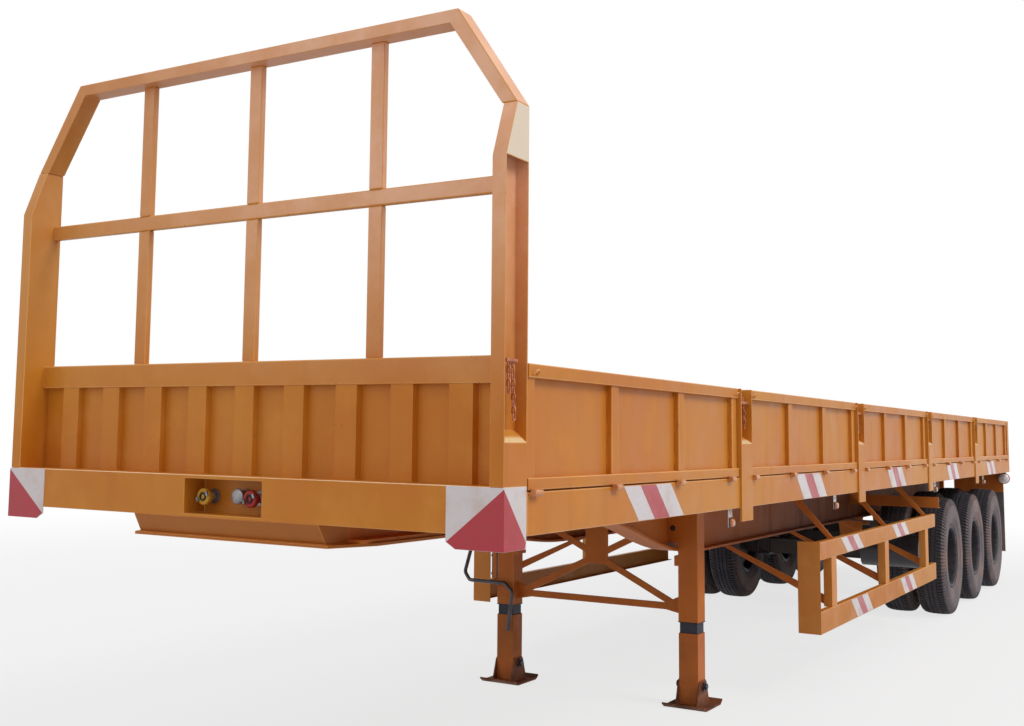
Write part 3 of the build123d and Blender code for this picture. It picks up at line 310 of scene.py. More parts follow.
def lens(name, base, inner):
    """Ribbed plastic lamp lens with the reflector's cells showing through."""
    g = Graph(name, Coat_Weight=0.6, Coat_Roughness=0.06, IOR=1.49)
    cell = g.cells(120)
    colour = g.mix(g.ramp(cell, 0.1, 0.55), base, inner)
    g.finish(g.mix(g.ramp(g.noise(30, 5), 0.5, 0.8, 0, 0.35), colour, 0x785446), 0.16, (cell, 0.3, 0.0006))


deck()
rubber("tyre_rubber", 0x504A50, 0x7A6E70, 0x927468, 0.7)
# darker tread rubber: painted shade on the tread, with less road dust than the sidewalls
rubber("tread_rubber", 0x2E2C34, 0x3E393E, 0x5C4E4A, 0.25)
tape("white_tape", 0xD6CCCE, 0xB0A6AA, 0xBA967C)
tape("red_tape", 0xB0182C, 0x921022, 0x963834)
tape("marker_white", 0xD8CFD0, 0xB6ACB0, 0xBE9C86)
lens("red_lens", 0xBC2228, 0x781018)
lens("amber_lens", 0xE89628, 0xB86216)
lens("clear_lens", 0xFCF6F4, 0xF0E4E4)


# ---- Mesh building ----
def across(direction):
    """Two unit vectors at right angles to a direction and to each other."""
    d = direction.normalized()
    u = d.cross(Z if abs(d.z) < 0.9 else Y).normalized()
    return u, d.cross(u).normalized()


def mm(*points):
    """Points written in millimetres."""
    return [tuple(c / 1000 for c in p) for p in points]


def turns(count, start=0):
    """Evenly spaced angles, the first one start steps on."""
    return [2 * pi * (k + start) / count for k in range(count)]


CORNERS = ((1, 1), (-1, 1), (-1, -1), (1, -1))


def round_rect(w, h, r, steps=3):
    """Outline of a rectangle with rounded corners round the origin, anticlockwise."""
    points = []
    for quarter, (cx, cy) in enumerate(CORNERS):
        for i in range(steps + 1):
            a = pi / 2 * (quarter + i / steps)
            points.append((cx * (w / 2 - r) + r * cos(a), cy * (h / 2 - r) + r * sin(a)))
    return points


class Shape:
    """Collects the faces of one piece."""

    def __init__(self):
        self.verts, self.faces, self.slots, self.smooth = [], [], [], []

    def add(self, verts, faces, slots=None, smooth=False):
        base = len(self.verts)
        self.verts += [tuple(v) for v in verts]
        self.faces += [tuple(base + i for i in f) for f in faces]
        self.slots += slots or [0] * len(faces)
        self.smooth += [smooth] * len(faces)

    def loft(self, rings, slot=0, smooth=False, caps=True, closed=False, columns=None):
        """Skin over rings that have as many points each. closed joins the last ring to the first.
        columns gives each column of faces its own material slot."""
        count, end = len(rings[0]), len(rings) * len(rings[0])
        faces, slots = [], []
        for a in range(0, end if closed else end - count, count):
            b = (a + count) % end
            faces += [(a + j, a + (j + 1) % count, b + (j + 1) % count, b + j) for j in range(count)]
            slots += columns or [slot] * count
        if caps and not closed:
            faces += [range(count)[::-1], range(end - count, end)]
            slots += [slot, slot]
        self.add([p for ring in rings for p in ring], faces, slots, smooth)

    def prism(self, outline, push, slot=0):
        """Flat outline of 3D points, given thickness by the vector push."""
        outline = [Vector(p) for p in outline]
        if (outline[1] - outline[0]).cross(outline[2] - outline[1]).dot(push) < 0:
            outline.reverse()
        self.loft([outline, [p + push for p in outline]], slot)

    def skins(self, columns, rows, at):
        """Front and back of a thin plate; at(i, j, back) is the point in column i and row j."""
        for back in (False, True):
            faces = []
            for i in range(columns):
                for j in range(rows):
                    q = i * (rows + 1) + j
                    faces.append((q, q + rows + 1, q + rows + 2, q + 1)[::-1 if back else 1])
            self.add([at(i, j, back) for i in range(columns + 1) for j in range(rows + 1)], faces, smooth=True)

    def bar(self, start, end, w, h, r, u, slot=0, edge=None, inset=0.0015):
        """Bar of rounded section from start to end. u is the direction of w, and its ends are eased.
        edge is the material slot of its rounded corners."""
        start, end = Vector(start), Vector(end)
        axis = (end - start).normalized()
        v = axis.cross(u)
        rings = []
        for point, shrink in ((start, inset), (start + axis * inset, 0), (end - axis * inset, 0), (end, inset)):
            outline = round_rect(w - 2 * shrink, h - 2 * shrink, max(r - shrink, 0.0004))
            rings.append([point + u * a + v * b for a, b in outline])
        self.loft(rings, slot, True, columns=None if edge is None else [edge, edge, edge, slot] * 4)

    def block(self, centre, half, *section, **more):
        """Bar that reaches as far as the vector half to either side of its centre."""
        self.bar(Vector(centre) - half, Vector(centre) + half, *section, **more)

    def lathe(self, profile, centre, axis, steps=32, slot=0, smooth=True, closed=False, turn=0):
        """Turns (distance along the axis, radius) points round the axis through centre."""
        u, v = across(axis)
        rings = []
        for a, r in profile:
            middle, r = Vector(centre) + axis * a, max(r, 0.0002)
            rings.append([middle + (u * cos(t + turn) + v * sin(t + turn)) * r for t in turns(steps)])
        self.loft(rings, slot, smooth, closed=closed)

    def tube(self, points, radius, sides=8, slot=0, closed=False):
        """Round wire along points. radius is one number, or a list with one for each point."""
        points = [Vector(p) for p in points]
        count = len(points)
        rings, u = [], None
        for i, p in enumerate(points):
            before = points[(i - 1) % count] if closed or i else p
            after = points[(i + 1) % count] if closed or i < count - 1 else p
            t = (after - before).normalized()
            u = u or across(t)[0]
            u = (u - t * u.dot(t)).normalized()
            v = t.cross(u)
            r = radius[i] if isinstance(radius, list) else radius
            rings.append([p + (u * cos(a) + v * sin(a)) * r for a in turns(sides)])
        self.loft(rings, slot, True, closed=closed)

    def bead(self, a, b, r=0.003, pitch=0.007):
        """Weld bead: a low ribbed worm between two points."""
        a, b = Vector(a), Vector(b)
        count = max(3, round((b - a).length / pitch) * 2)
        u, v = across(b - a)
        points, radii = [], []
        for i in range(count + 1):
            sway = (u * rng.uniform(-1, 1) + v * rng.uniform(-1, 1)) * r * 0.12
            points.append(a.lerp(b, i / count) + sway)
            radii.append(r * (1 if i % 2 else 0.78) * rng.uniform(0.93, 1.07))
        radii[0] = radii[-1] = r * 0.5
        self.tube(points, radii, 6)

    def seam(self, centre, half, *size):
        """Weld bead that reaches as far as the vector half to either side of its centre."""
        self.bead(Vector(centre) - half, Vector(centre) + half, *size)

    def bolt(self, at, axis, r=0.012, h=0.009, slot=0, washer=0.0022):
        """Hexagon head with a chamfered top on a round washer of that thickness."""
        if washer:
            self.lathe([(0, r * 1.45), (washer, r * 1.45), (washer, r * 1.3)], at, axis, 16, slot)
        head = [(washer, r), (washer + h * 0.82, r), (washer + h, r * 0.84)]
        self.lathe(head, at, axis, 6, slot, False, turn=rng.uniform(0, 1))

    def chain(self, top, down, links):
        """Hanging chain of round links, each turned a quarter from the last."""
        wire, length, width = 0.0035, 0.03, 0.02
        top, down = Vector(top), Vector(down).normalized()
        sides = across(down)[::-1]
        for n in range(links):
            points = []
            for a in turns(12):
                reach = sin(a) * (width / 2 - wire) + copysign((length - width) / 2, sin(a))
                centre = top + down * ((length - 2 * wire) * n)
                points.append(centre + sides[n % 2] * (cos(a) * (width / 2 - wire)) + down * reach)
            self.tube(points, wire, 6, closed=True)

    def mesh(self, name, looks):
        me = bpy.data.meshes.new(name)
        me.from_pydata(self.verts, [], self.faces)
        for name in looks.split():
            me.materials.append(LOOKS[name])
        me.polygons.foreach_set("material_index", self.slots)
        me.polygons.foreach_set("use_smooth", self.smooth)
        me.update()
        return me

    def piece(self, name, looks, slot, crease=35):
        return stand(self.mesh(name, looks), name, "chassis", crease)


def linked(name, data):
    ob = bpy.data.objects.new(name, data)
    scene.collection.objects.link(ob)
    return ob


def stand(me, name, body, crease=35):
    """Puts a mesh in the scene on a body. Edges sharper than crease degrees stay sharp."""
    ob = linked(name, me)
    if crease:
        me.set_sharp_from_angle(angle=radians(crease))
    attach(ob, body)
    return ob


def placed(me, at, turn):
    """Copy of a mesh, turned and then moved."""
    made = me.copy()
    made.transform(Matrix.Translation(at) @ turn)
    return made


def even(ob, keep_sharp=True):
    """Lets large flat faces set the shading of the eased edges round them."""
    ob.modifiers.new("even", "WEIGHTED_NORMAL").keep_sharp = keep_sharp
    return ob


def finish_node(node, looks, width, segments=2):
    """Gives a CAD node its materials, and eased edges that show the second one."""
    materials = [LOOKS[name] for name in looks.split()]
    ob = frame["nodes"][node]
    if not ob.material_slots:
        ob.data.materials.append(None)
    for s in ob.material_slots:
        s.material = materials[0]
    if not width:
        return
    if len(materials) > 1:
        ob.data.materials.append(materials[1])
    ob.modifiers.new("weld", "WELD").merge_threshold = 0.00005
    edge = ob.modifiers.new("edge", "BEVEL")
    edge.width, edge.segments, edge.limit_method, edge.angle_limit = width, segments, "ANGLE", radians(38)
    edge.material = len(ob.material_slots) - 1 if len(materials) > 1 else -1
    even(ob, False)


# ---- CAD nodes that stay ----
# the material of each, the one on its edges, and how wide those are, in millimetres
for looks, widths in (
        ("body_paint edge_paint", dict(
            side_beams=4, rear_beam=4, headboard_panel=1.2, stake_posts=2.5, rear_posts=3, side_guard_rails=4)),
        ("bleached_paint edge_paint", dict(
            headboard_posts=2.5, headboard_top=4, headboard_rails=5, headboard_uprights=5)),
        ("under_paint under_edge", dict(
            landing_legs=4, landing_bracing=2, side_guard_stays=2, spring_hangers=3, rear_bumper=4,
            mudguard_plates=1.5)),
        ("body_paint ledge_paint", dict(front_bolster=5.5)),
        ("beam_paint beam_paint", dict(main_beams=2, cross_members=2)),
        ("guard_paint edge_paint", dict(side_guard_posts=3)),
        ("inner_leg_paint inner_leg_paint", dict(landing_inner_legs=3)),
        ("foot_rust under_paint", dict(landing_feet=1.2)),
        ("coupler_paint under_edge", dict(coupler_plate=2)),
        ("marker_white", dict(corner_markers=0.8)), ("deck_steel", dict(deck_floor=0.8)),
        ("bare_steel", dict(kingpin=0)), ("dark_steel", dict(landing_cross_shaft=0)),
        ("black_iron", dict(axles=0)), ("tank_black", dict(air_tank=0)),
        ("chain_steel", dict(panel_latches=0)), ("hinge_steel", dict(panel_hinges=0))):
    for node, width in widths.items():
        finish_node(node, looks, width / 1000, 3 if node == "front_bolster" else 2)


# ---- Side panels and rear gate ----
RAIL_LOW, RAIL_TOP, PANEL_T = 0.043, 0.05, 0.05
RIB_W, RIB_DEPTH, RIB_COUNT = 0.066, 0.024, 4
SHEET_X, SHEET_T = -0.035, 0.003   # outer face of the sheet, behind the rails' outer faces
HINGE_OUT, HINGE_DROP, HINGE_R, HINGE_HALF, HINGES = 0.018, 0.008, 0.013, 0.02, 4
HINGE_FRONT, HINGE_REAR, HINGE_GATE = 0.032, 0.152, 0.084   # outermost hinges from a panel's ends
EYE_R, EYE_IN = 0.016, 0.045   # bent eye that the post's hook catches, and its place
PANEL_Z = BEAM_TOP + 0.006
PANEL_H = PANEL_TOP - PANEL_Z


def sheet(shape, y0, y1, z0, z1, swell):
    """Thin plate between two ribs, slightly buckled."""
    columns, rows = 16, 8

    def at(i, j, back):
        a, b = i / columns, j / rows
        puff = (swell * sin(pi * a) + 0.0006 * sin(9 * a + 40 * swell)) * sin(pi * b)
        return SHEET_X + puff - SHEET_T * back, y0 + (y1 - y0) * a, z0 + (z1 - z0) * b

    shape.skins(columns, rows, at)


def hinged_panel(length, first, last):
    """Panel along +Y from 0, outer face at x = 0, underside at z = 0, outer side towards +X."""
    s = Shape()
    low, top = RAIL_LOW, PANEL_H - RAIL_TOP
    for z, height in ((RAIL_LOW / 2, RAIL_LOW), (PANEL_H - RAIL_TOP / 2, RAIL_TOP)):
        s.bar((-PANEL_T / 2, 0, z), (-PANEL_T / 2, length, z), PANEL_T, height, 0.0045, X, 0, 1)
    pitch = (length - RIB_W) / (RIB_COUNT - 1)
    rib_x = SHEET_X + RIB_DEPTH / 2
    for i in range(RIB_COUNT):
        y = i * pitch + RIB_W / 2
        s.bar((rib_x, y, low), (rib_x, y, top), RIB_W, RIB_DEPTH, 0.005, Y, 0, 1)
        for z in (low, top):
            s.seam((SHEET_X + RIB_DEPTH, y, z), Y * (RIB_W / 2 - 0.004), 0.0032)
        for y_side in (y - RIB_W / 2, y + RIB_W / 2):
            if 0.001 < y_side < length - 0.001:
                for z in (low + 0.03, low + 0.16, low + 0.29):
                    s.bead((SHEET_X, y_side, z), (SHEET_X, y_side, min(z + 0.045, top - 0.004)))
        if i < RIB_COUNT - 1:
            sheet(s, y + RIB_W / 2 - 0.004, y + pitch - RIB_W / 2 + 0.004, low - 0.003, top + 0.003,
                  rng.uniform(0.001, 0.0024) * rng.choice((-1, 1)))
    h, r, c, bore = HINGE_HALF, HINGE_R, 0.0015, 0.0068
    knuckle = [(-h, bore), (-h, r - c), (-h + c, r), (h - c, r), (h, r - c), (h, bore), (-h, bore)]
    for i in range(HINGES):
        y = first + (length - first - last) * i / (HINGES - 1)
        s.block(((HINGE_OUT - 0.006) / 2, y, 0.0026), Y * h, HINGE_OUT + 0.006, 0.005, 0.0012, X, 2)
        s.lathe(knuckle, (HINGE_OUT, y, -HINGE_DROP), Y, 20, 2, closed=True)
        s.seam((0.0005, y, 0.0055), Y * (h - 0.003))
    for y in (EYE_IN, length - EYE_IN):
        z = top + 0.012
        bend = [(0.004 + 0.012 * sin(a), y - EYE_R * cos(a), z + EYE_R * sin(a)) for a in turns(12)[:7]]
        s.tube([(0, y - EYE_R, z), *bend, (0, y + EYE_R, z)], 0.0035, 8, 3)
    return s.mesh("hinged_panel", "body_paint edge_paint hinge_steel edge_paint")


for n in BAYS:
    for side, sign in SIDES:
        node = f"side_panel_{side}_{n}"
        low, high = box(node)
        me = hinged_panel(high.y - low.y, *(HINGE_FRONT, HINGE_REAR)[::sign])
        me = placed(me, (sign * HALF_W, low.y if sign > 0 else high.y, PANEL_Z), TURNS[sign])
        ob = even(stand(me, f"panel_{side}_{n}", node))
        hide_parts(node)

low, high = box("rear_gate")
GATE_FACE = FRONT + 12.32
me = hinged_panel(high.x - low.x, HINGE_GATE, HINGE_GATE)
me = placed(me, (high.x, GATE_FACE, PANEL_Z), Matrix.Rotation(pi / 2, 4, "Z"))
ob = even(stand(me, "gate_panel", "rear_gate"))
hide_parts("rear_gate")


# ---- Tyres ----
LUGS = 104
LUG_STEPS = ((0, 1), (0.08, 0), (0.5, 0), (0.6, 1))   # (share of a lug's pitch, share of groove)
TREAD_X = 0.109   # the darker tread rubber, painted shade, reaches this far from the middle
# (radius, x) up one sidewall, with its bead and scuff ribs
SIDEWALL = mm((260, 90), (261, 98.5), (270, 101), (283, 106), (287, 112), (292, 112.5), (296, 115), (315, 122.5),
              (340, 130), (343, 133.5), (348, 134), (351, 132.5), (375, 136.5), (395, 137.3), (415, 136.2),
              (435, 133.8), (438, 136.2), (443, 135.8), (446, 132), (458, 130.5), (457, 120), (457, 100))
# (radius, x, groove depth) from the shoulder to the middle of the tread
TREAD = mm((457.5, 130, 0), (464, 130.6, 6), (485, 126.8, 14), (505, 119, 17), (515, 108, 17), (521.5, 90, 14),
           (525, 64, 6), (515, 62, 0), (515, 54, 0), (526.2, 52, 3), (527.2, 23, 3), (517, 21, 0), (517, 13, 0),
           (527.5, 11, 3))
# (radius, x) of the hollow inside, from under the tread to the bead
TYRE_INSIDE = mm((470, -100), (390, -118), (300, -100), (260, -90))


def tyre_mesh():
    """One tyre round the origin, its axis along X: fine lugs over the shoulders, ribs on the sidewalls."""
    swell = TYRE_R / 0.5275
    outline = [(r * swell, x, g) for r, x, g in TREAD] + [(r * swell, -x, g) for r, x, g in reversed(TREAD)]
    rings = []
    for lug in range(LUGS):
        for share, groove in LUG_STEPS:
            ring = []
            for r, x, g in outline:
                # the lugs lean over the shoulders, and the two sides are half a lug apart
                lean = (0.35 * x / 0.12 + (0 if x > 0 else 0.5)) if g else 0
                a = 2 * pi * (lug + share + lean) / LUGS
                n = Vector((x, r - 0.44)).normalized() * g * groove
                ring.append((x - n.x, (r - n.y) * cos(a), (r - n.y) * sin(a)))
            rings.append(ring)
    s = Shape()
    s.loft(rings, 0, True, closed=True)
    # faces near the middle take the darker tread rubber, painted shade
    s.slots = [int(max(abs(s.verts[v][0]) for v in face) < TREAD_X) for face in s.faces]
    wall = [(x, r * swell) for r, x in SIDEWALL] + [(-x, r) for r, x in TYRE_INSIDE]
    for side in (1, -1):
        s.lathe(wall, O, X * side, 96, closed=True)
    return s.mesh("tyre", "tyre_rubber tread_rubber")


# ---- Wheels ----
STUD_R, HAND_R, STUDS, HANDS = 0.1675, 0.213, 10, 8
DISC_FLAT, DISC_RIM, DISC_T = 0.19, 0.244, 0.011   # the dish runs out between these two radii
DRUM_BACK = MID_X - 0.014 - 0.19


def wheel_disc(shape, side):
    """Dished disc with hand holes; side is +1 for the outer wheel and -1 for its twin."""
    def ring(points, lift, way):
        made = []
        for r, a in points[::way]:
            t = max(0, min(1, (r - DISC_FLAT) / (DISC_RIM - DISC_FLAT)))
            made.append((side * (0.002 + 0.052 * t * t * (3 - 2 * t) + lift), r * cos(a), r * sin(a)))
        return made

    holes = []   # rings of (radius, angle) round each hand hole, the last at its edge
    for a0 in turns(HANDS):
        outer, inner = [], []
        for q in turns(16, 0.5):
            m = max(abs(cos(q)), abs(sin(q)))
            outer.append((0.211 + 0.033 * sin(q) / m, a0 + pi / HANDS * cos(q) / m))
            inner.append((HAND_R + 0.0165 * sin(q), a0 + 0.032 * cos(q) / HAND_R))
        middle = [((a + 2 * c) / 3, (b + 2 * d) / 3) for (a, b), (c, d) in zip(outer, inner)]
        holes.append((outer, middle, inner))
    for lift, way in ((DISC_T, side), (0, -side)):
        for rings in holes:
            shape.loft([ring(points, lift, way) for points in rings], 0, True, caps=False)
    for rings in holes:
        shape.loft([ring(rings[-1], lift, side) for lift in (0, DISC_T)], 0, True, caps=False)
    flange = mm((2, 100), (2, 182), (13, 182), (13, 100), (2, 100))
    shape.lathe(flange, O, X * side, 48, closed=True)


def wheel_mesh():
    """Twin wheels round the origin, the outer one towards +X, with studs, hub and brake drum."""
    s = Shape()
    centre = OUTER_X - MID_X
    inner = -centre + 0.001   # both rims reach to a millimetre from the middle
    rim = mm((98, 259), (102, 266), (106, 277), (111, 282), (116, 281.5), (118, 278), (116.5, 275.5), (112.5, 274),
             (112, 260), (109.5, 256), (104, 254.5), (103, 251), (96, 250), (95, 247), (50, 245.5), (-30, 244.5))
    rim = [(inner, 0.2585), *rim, (inner, 0.2445), (inner, 0.2585)]
    for side in (1, -1):
        s.lathe(rim, X * side * centre, X * side, 72, closed=True)
        wheel_disc(s, side)
    for a in turns(STUDS, 0.5):
        at = (0.0135, STUD_R * cos(a), STUD_R * sin(a))
        s.lathe(mm((0, 21), (4, 20.5), (6, 18)), at, X, 20, 1)
        s.lathe(mm((6, 17.5), (24, 17.5), (27, 15)), at, X, 6, 1, False, turn=a)
        s.lathe(mm((20, 10.5), (44, 10.5), (46, 8.8)), at, X, 12, 1)
    s.lathe(mm((0, 100), (14, 112), (22, 112), (30, 104), (70, 100), (112, 92), (126, 86), (130, 82), (130, 74),
               (136, 73.5), (142, 73.5), (146, 66), (168, 62), (176, 55), (180, 40), (180, 0)), O, X, 40, 1)
    for a in turns(8):
        s.bolt((0.13, 0.0785 * cos(a), 0.0785 * sin(a)), X, 0.0062, 0.006, 1, washer=0)
    drum = mm((0, 188), (0, 204), (16, 205), (20, 199), (80, 198), (84, 205), (96, 205), (100, 198), (165, 197),
              (184, 186), (190, 165), (190, 90), (172, 90), (172, 184), (0, 188))
    s.lathe(drum, X * (DRUM_BACK - MID_X), X, 48, 2, closed=True)
    return s.mesh("wheel", "wheel_steel hub_steel black_iron")


tyre_master, wheel_master = tyre_mesh(), wheel_mesh()
for n in AXLES:
    for side, sign in SIDES:
        body = f"wheel_{side}_{n}"
        spin = Matrix.Rotation(rng.uniform(0, 2 * pi), 4, "X")
        me = placed(wheel_master, WHEELS[n] + X * sign * MID_X, TURNS[sign] @ spin)
        ob = stand(me, f"wheel_center_{side}_{n}", body, 30)
        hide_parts(body)
        for name, x in (("outer", OUTER_X), ("inner", INNER_X)):
            spin = Matrix.Rotation(rng.uniform(0, 2 * pi), 4, "X")
            me = placed(tyre_master, WHEELS[n] + X * sign * x, TURNS[sign] @ spin)
            ob = stand(me, f"tyre_{name}_{side}_{n}", body, 32)
            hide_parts(f"tyres_{side}_{n}")


# ---- Leaf springs ----
low, high = box("springs")
SPRING_W, AXLE_H, LEAVES = 0.09, 0.07, 9
UBOLT_R, UBOLT_X, UBOLT_Y = 0.0085, 0.0505, 0.085
s, u = Shape(), Shape()
for n in AXLES:
    y, under = WHEELS[n].y, WHEELS[n].z - AXLE_H
    for sign in (1, -1):
        x = sign * (high.x - SPRING_W / 2)
        for leaf in range(LEAVES):
            at = (x, y, high.z - 0.004 - leaf * 0.0074)
            s.block(at, Y * (0.594 - leaf * 0.054), 0.088 if leaf else SPRING_W, 0.0076, 0.0016, X, inset=0.0012)
        for dy in (-0.31, 0.31):
            s.block((x, y + dy, high.z - 0.022), Y * 0.016, 0.104, 0.05, 0.006, X)
            for way in (1, -1):
                s.bolt((x + way * 0.052, y + dy, high.z - 0.038), X * way, 0.008, 0.006)
        s.block((x, y, low.z + 0.006), Y * 0.08, 0.12, 0.012, 0.003, X)
        u.block((x, y, high.z + 0.008), Y * 0.11, 0.116, 0.014, 0.003, X)
        u.block((x, y, under - 0.01), Y * 0.11, 0.122, 0.016, 0.003, X)
        for dy in (-UBOLT_Y, UBOLT_Y):
            top = high.z + 0.016
            for dx in (-UBOLT_X, UBOLT_X):
                u.tube([(x + dx, y + dy, under - 0.05), (x + dx, y + dy, top)], UBOLT_R, 10)
                u.bolt((x + dx, y + dy, under - 0.018), -Z, 0.015, 0.016)
            rise = [(x + UBOLT_X * (k / 4 - 1), y + dy, top + 0.014 * sin(pi * k / 8)) for k in range(9)]
            u.tube(rise, UBOLT_R, 10)
ob = even(s.piece("leaf_springs", "black_iron", "black_iron"))
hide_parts("springs")
even(u.piece("spring_clamps", "dark_steel", "black_iron"))


# ---- Mudflaps ----
FLAP_IN, FLAP_T, FLAP_BOW, FLAP_RIB = 0.66, 0.007, 0.01, 0.0014


def mudflap(shape, low, high):
    """Ribbed rubber sheet that bows slightly, hung from a clamp bar with bolts."""
    columns, rows = 48, 12
    wide = high.x - low.x

    def at(i, j, back):
        a, b = i / columns, j / rows
        rib = FLAP_RIB if i % 4 in (1, 2) and 0 < j < rows else 0
        y = low.y + FLAP_BOW * (1 - b) ** 2 * sin(pi * a) + (FLAP_T + rib if back else -rib)
        return low.x + wide * a, y, low.z + (high.z - low.z) * b

    shape.skins(columns, rows, at)
    edge = [(a, 0) for a in range(columns)] + [(columns, b) for b in range(rows)]
    edge += [(columns - a, rows - b) for a, b in edge]
    shape.loft([[at(i, j, back) for i, j in edge] for back in (False, True)], caps=False)
    z, y = high.z - 0.03, low.y + 0.0115
    shape.block(((low.x + high.x) / 2, y, z), X * (wide / 2 - 0.006), 0.005, 0.036, 0.0015, Y, 1)
    for k in range(6):
        shape.bolt((low.x + 0.045 + (wide - 0.09) * k / 5, y + 0.0025, z), Y, 0.0095, 0.007, 2)


s = Shape()
low, high = box("mudflaps")
mudflap(s, Vector((FLAP_IN, low.y, low.z)), high)
mudflap(s, low, Vector((-FLAP_IN, high.y, high.z)))
ob = s.piece("rubber_mudflaps", "tyre_rubber under_paint dark_steel", "tyre_rubber")
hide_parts("mudflaps")


# ---- Stripes and markers ----
STRIPE_AT = (1.157, 1.152, 1.061, 1.031, 0.941)   # middle of each beam stripe behind its panel's front end
GUARD_STRIPES = ((0.82, 1), (2.33, 1), (1.055, 0), (2.575, 0))   # (behind the guard's front, on the top rail)
GUARD_RAIL_Z = ((0.392, 0.528), (0.835, 0.945))
TAPE_T = 0.0008
guard_front = box("side_guard_posts")[0].y


def slanted(shape, sign, x, middle, width, z0, z1, lean):
    """White, red and white bands, leaning forward at the top, on a face towards sign * X."""
    for band, colour in enumerate((0, 1, 0)):
        low_y = middle + width * (band / 3 - 1 / 2) + lean / 2
        outline = [(low_y, z0), (low_y + width / 3, z0), (low_y + width / 3 - lean, z1), (low_y - lean, z1)]
        shape.prism([(sign * x, y, z) for y, z in outline], X * sign * TAPE_T, colour)


for side, sign in SIDES:
    s = Shape()
    for n, offset in zip(BAYS, STRIPE_AT):
        y = box(f"side_panel_left_{n}")[0].y - 0.008 + offset
        slanted(s, sign, HALF_W, y, 0.508, BEAM_LOW + 0.003, BEAM_TOP - 0.003, 0.152)
    s.piece(f"beam_stripes_{side}", "white_tape red_tape", "marker_white")
    s = Shape()
    for offset, top in GUARD_STRIPES:
        z0, z1 = GUARD_RAIL_Z[top]
        slanted(s, sign, GUARD_X, guard_front + offset, 0.45, z0 + 0.005, z1 - 0.005, 0.165)
    s.piece(f"guard_stripes_{side}", "white_tape red_tape", "marker_white")

low, high = box("corner_markers")
foot, cut = low.z + 0.001, low.z + 0.024
s = Shape()
for sign in (1, -1):
    front = [(high.x, foot), (high.x - 0.187, foot), (high.x - 0.223, cut), (high.x, high.z - 0.006)]
    s.prism([(sign * x, low.y, z) for x, z in front], Y * -0.0007)
    flank = [(low.y, foot), (low.y, high.z - 0.006), (high.y - 0.004, cut), (high.y - 0.012, foot)]
    s.prism([(sign * high.x, y, z) for y, z in flank], X * sign * 0.0007)
s.piece("marker_triangles", "red_tape", "marker_white")


# ---- Stake and headboard posts ----
POST_W = 0.17
post_out = box("stake_posts")[1].x
glint_faces, hooks, welds = Shape(), Shape(), Shape()


def painted_slope_glint(sign, x_low, x_high, y0, y1):
    """Painted highlight in cream on the face of the sloping plate that closes a post's lower half."""
    a, b = (sign * x_low, SLOPE_Z), (sign * x_high, SLOPE_Z + SLOPE_H)
    normal = Vector((sign * SLOPE_H, 0, x_low - x_high)).normalized()
    glint_faces.prism([(x, y, z) for (x, z), y in ((a, y0), (a, y1), (b, y1), (b, y0))], normal * TAPE_T)


for sign in (1, -1):
    for n in BAYS[:-1]:
        y0 = box(f"side_panel_left_{n}")[1].y + 0.008
        painted_slope_glint(sign, post_out - 0.001, HALF_W - 0.05, y0 + 0.008, y0 + POST_W - 0.008)
        mid = y0 + POST_W / 2
        x = sign * (HALF_W - 0.018)
        hooks.chain((x, mid + 0.03, PANEL_TOP - 0.052), (0.03 * sign, 0.05, -1), 7)
        hooks.chain((x, mid - 0.032, PANEL_TOP - 0.052), (0.02 * sign, -0.04, -1), 4)
        hook = [(x, mid - 0.032, PANEL_TOP - 0.15), (x, mid - 0.034, PANEL_TOP - 0.178)]
        for k in range(8):
            a = pi * (1 + k / 7 * 1.15)
            hook.append((x, mid - 0.02 + 0.014 * cos(a), PANEL_TOP - 0.182 + 0.016 * sin(a)))
        hooks.tube(hook, 0.0042)
        for y in (y0, y0 + POST_W):
            for z in (0.036, 0.112):
                welds.seam((sign * HALF_W, y, BEAM_LOW + z), Z * 0.024, 0.0034)
        welds.seam((sign * (HALF_W + 0.004), mid, BEAM_LOW), Y * (POST_W / 2 - 0.004))
    painted_slope_glint(sign, HALF_W - 0.001, HALF_W - 0.048, FRONT + 0.008, FRONT + 0.16)
    x = sign * (HALF_W - 0.02)
    hooks.chain((x, FRONT + 0.092, PANEL_TOP - 0.006), (0.02 * sign, 0.03, -1), 9)
    hooks.chain((x, FRONT + 0.066, PANEL_TOP - 0.006), (0.01 * sign, -0.02, -1), 5)
    hooks.block((x, FRONT + 0.081, PANEL_TOP + 0.004), Y * 0.039, 0.014, 0.014, 0.005, X)
glint_faces.piece("post_slope_highlights", "highlight_cream_paint", "orange_paint")
hooks.piece("panel_chains", "chain_steel", "orange_paint")

# welds of the headboard frame
UPRIGHT_X, UPRIGHT_HALF = (-0.612, 0, 0.612), 0.03
FRAME_Y, LOW_RAIL_Y = FRONT + 0.128, FRONT + 0.108   # front faces of the middle and lower rails
low, high = box("headboard_rails")
rails = ((low.z, low.z + 0.098, LOW_RAIL_Y), (high.z - 0.063, high.z, FRAME_Y))
for x in UPRIGHT_X:
    for z in (rails[0][1], rails[1][0], rails[1][1], box("headboard_top")[1].z - 0.05):
        welds.seam((x, FRAME_Y, z), X * (UPRIGHT_HALF - 0.004), 0.0036)
        for edge in (-UPRIGHT_HALF, UPRIGHT_HALF):
            welds.seam((x + edge, FRAME_Y + 0.015, z), Y * 0.011, 0.0036)
for sign in (1, -1):
    x = sign * high.x
    for z0, z1, y in rails:
        welds.bead((x, y + 0.002, z0 + 0.004), (x, y + 0.002, z1 - 0.004), 0.004)
        for z in (z0, z1):
            welds.seam((x, y + 0.016, z), Y * 0.012, 0.004)
    for y in (FRONT + 0.002, FRONT + 0.166):
        welds.seam((sign * (HALF_W - 0.028), y, DECK_Z), X * sign * 0.024, 0.004)
welds.seam((0, box("headboard_panel")[0].y + 0.036, DECK_Z), X * 1.19, 0.0035, 0.01)
welds.piece("frame_welds", "body_paint", "orange_paint")


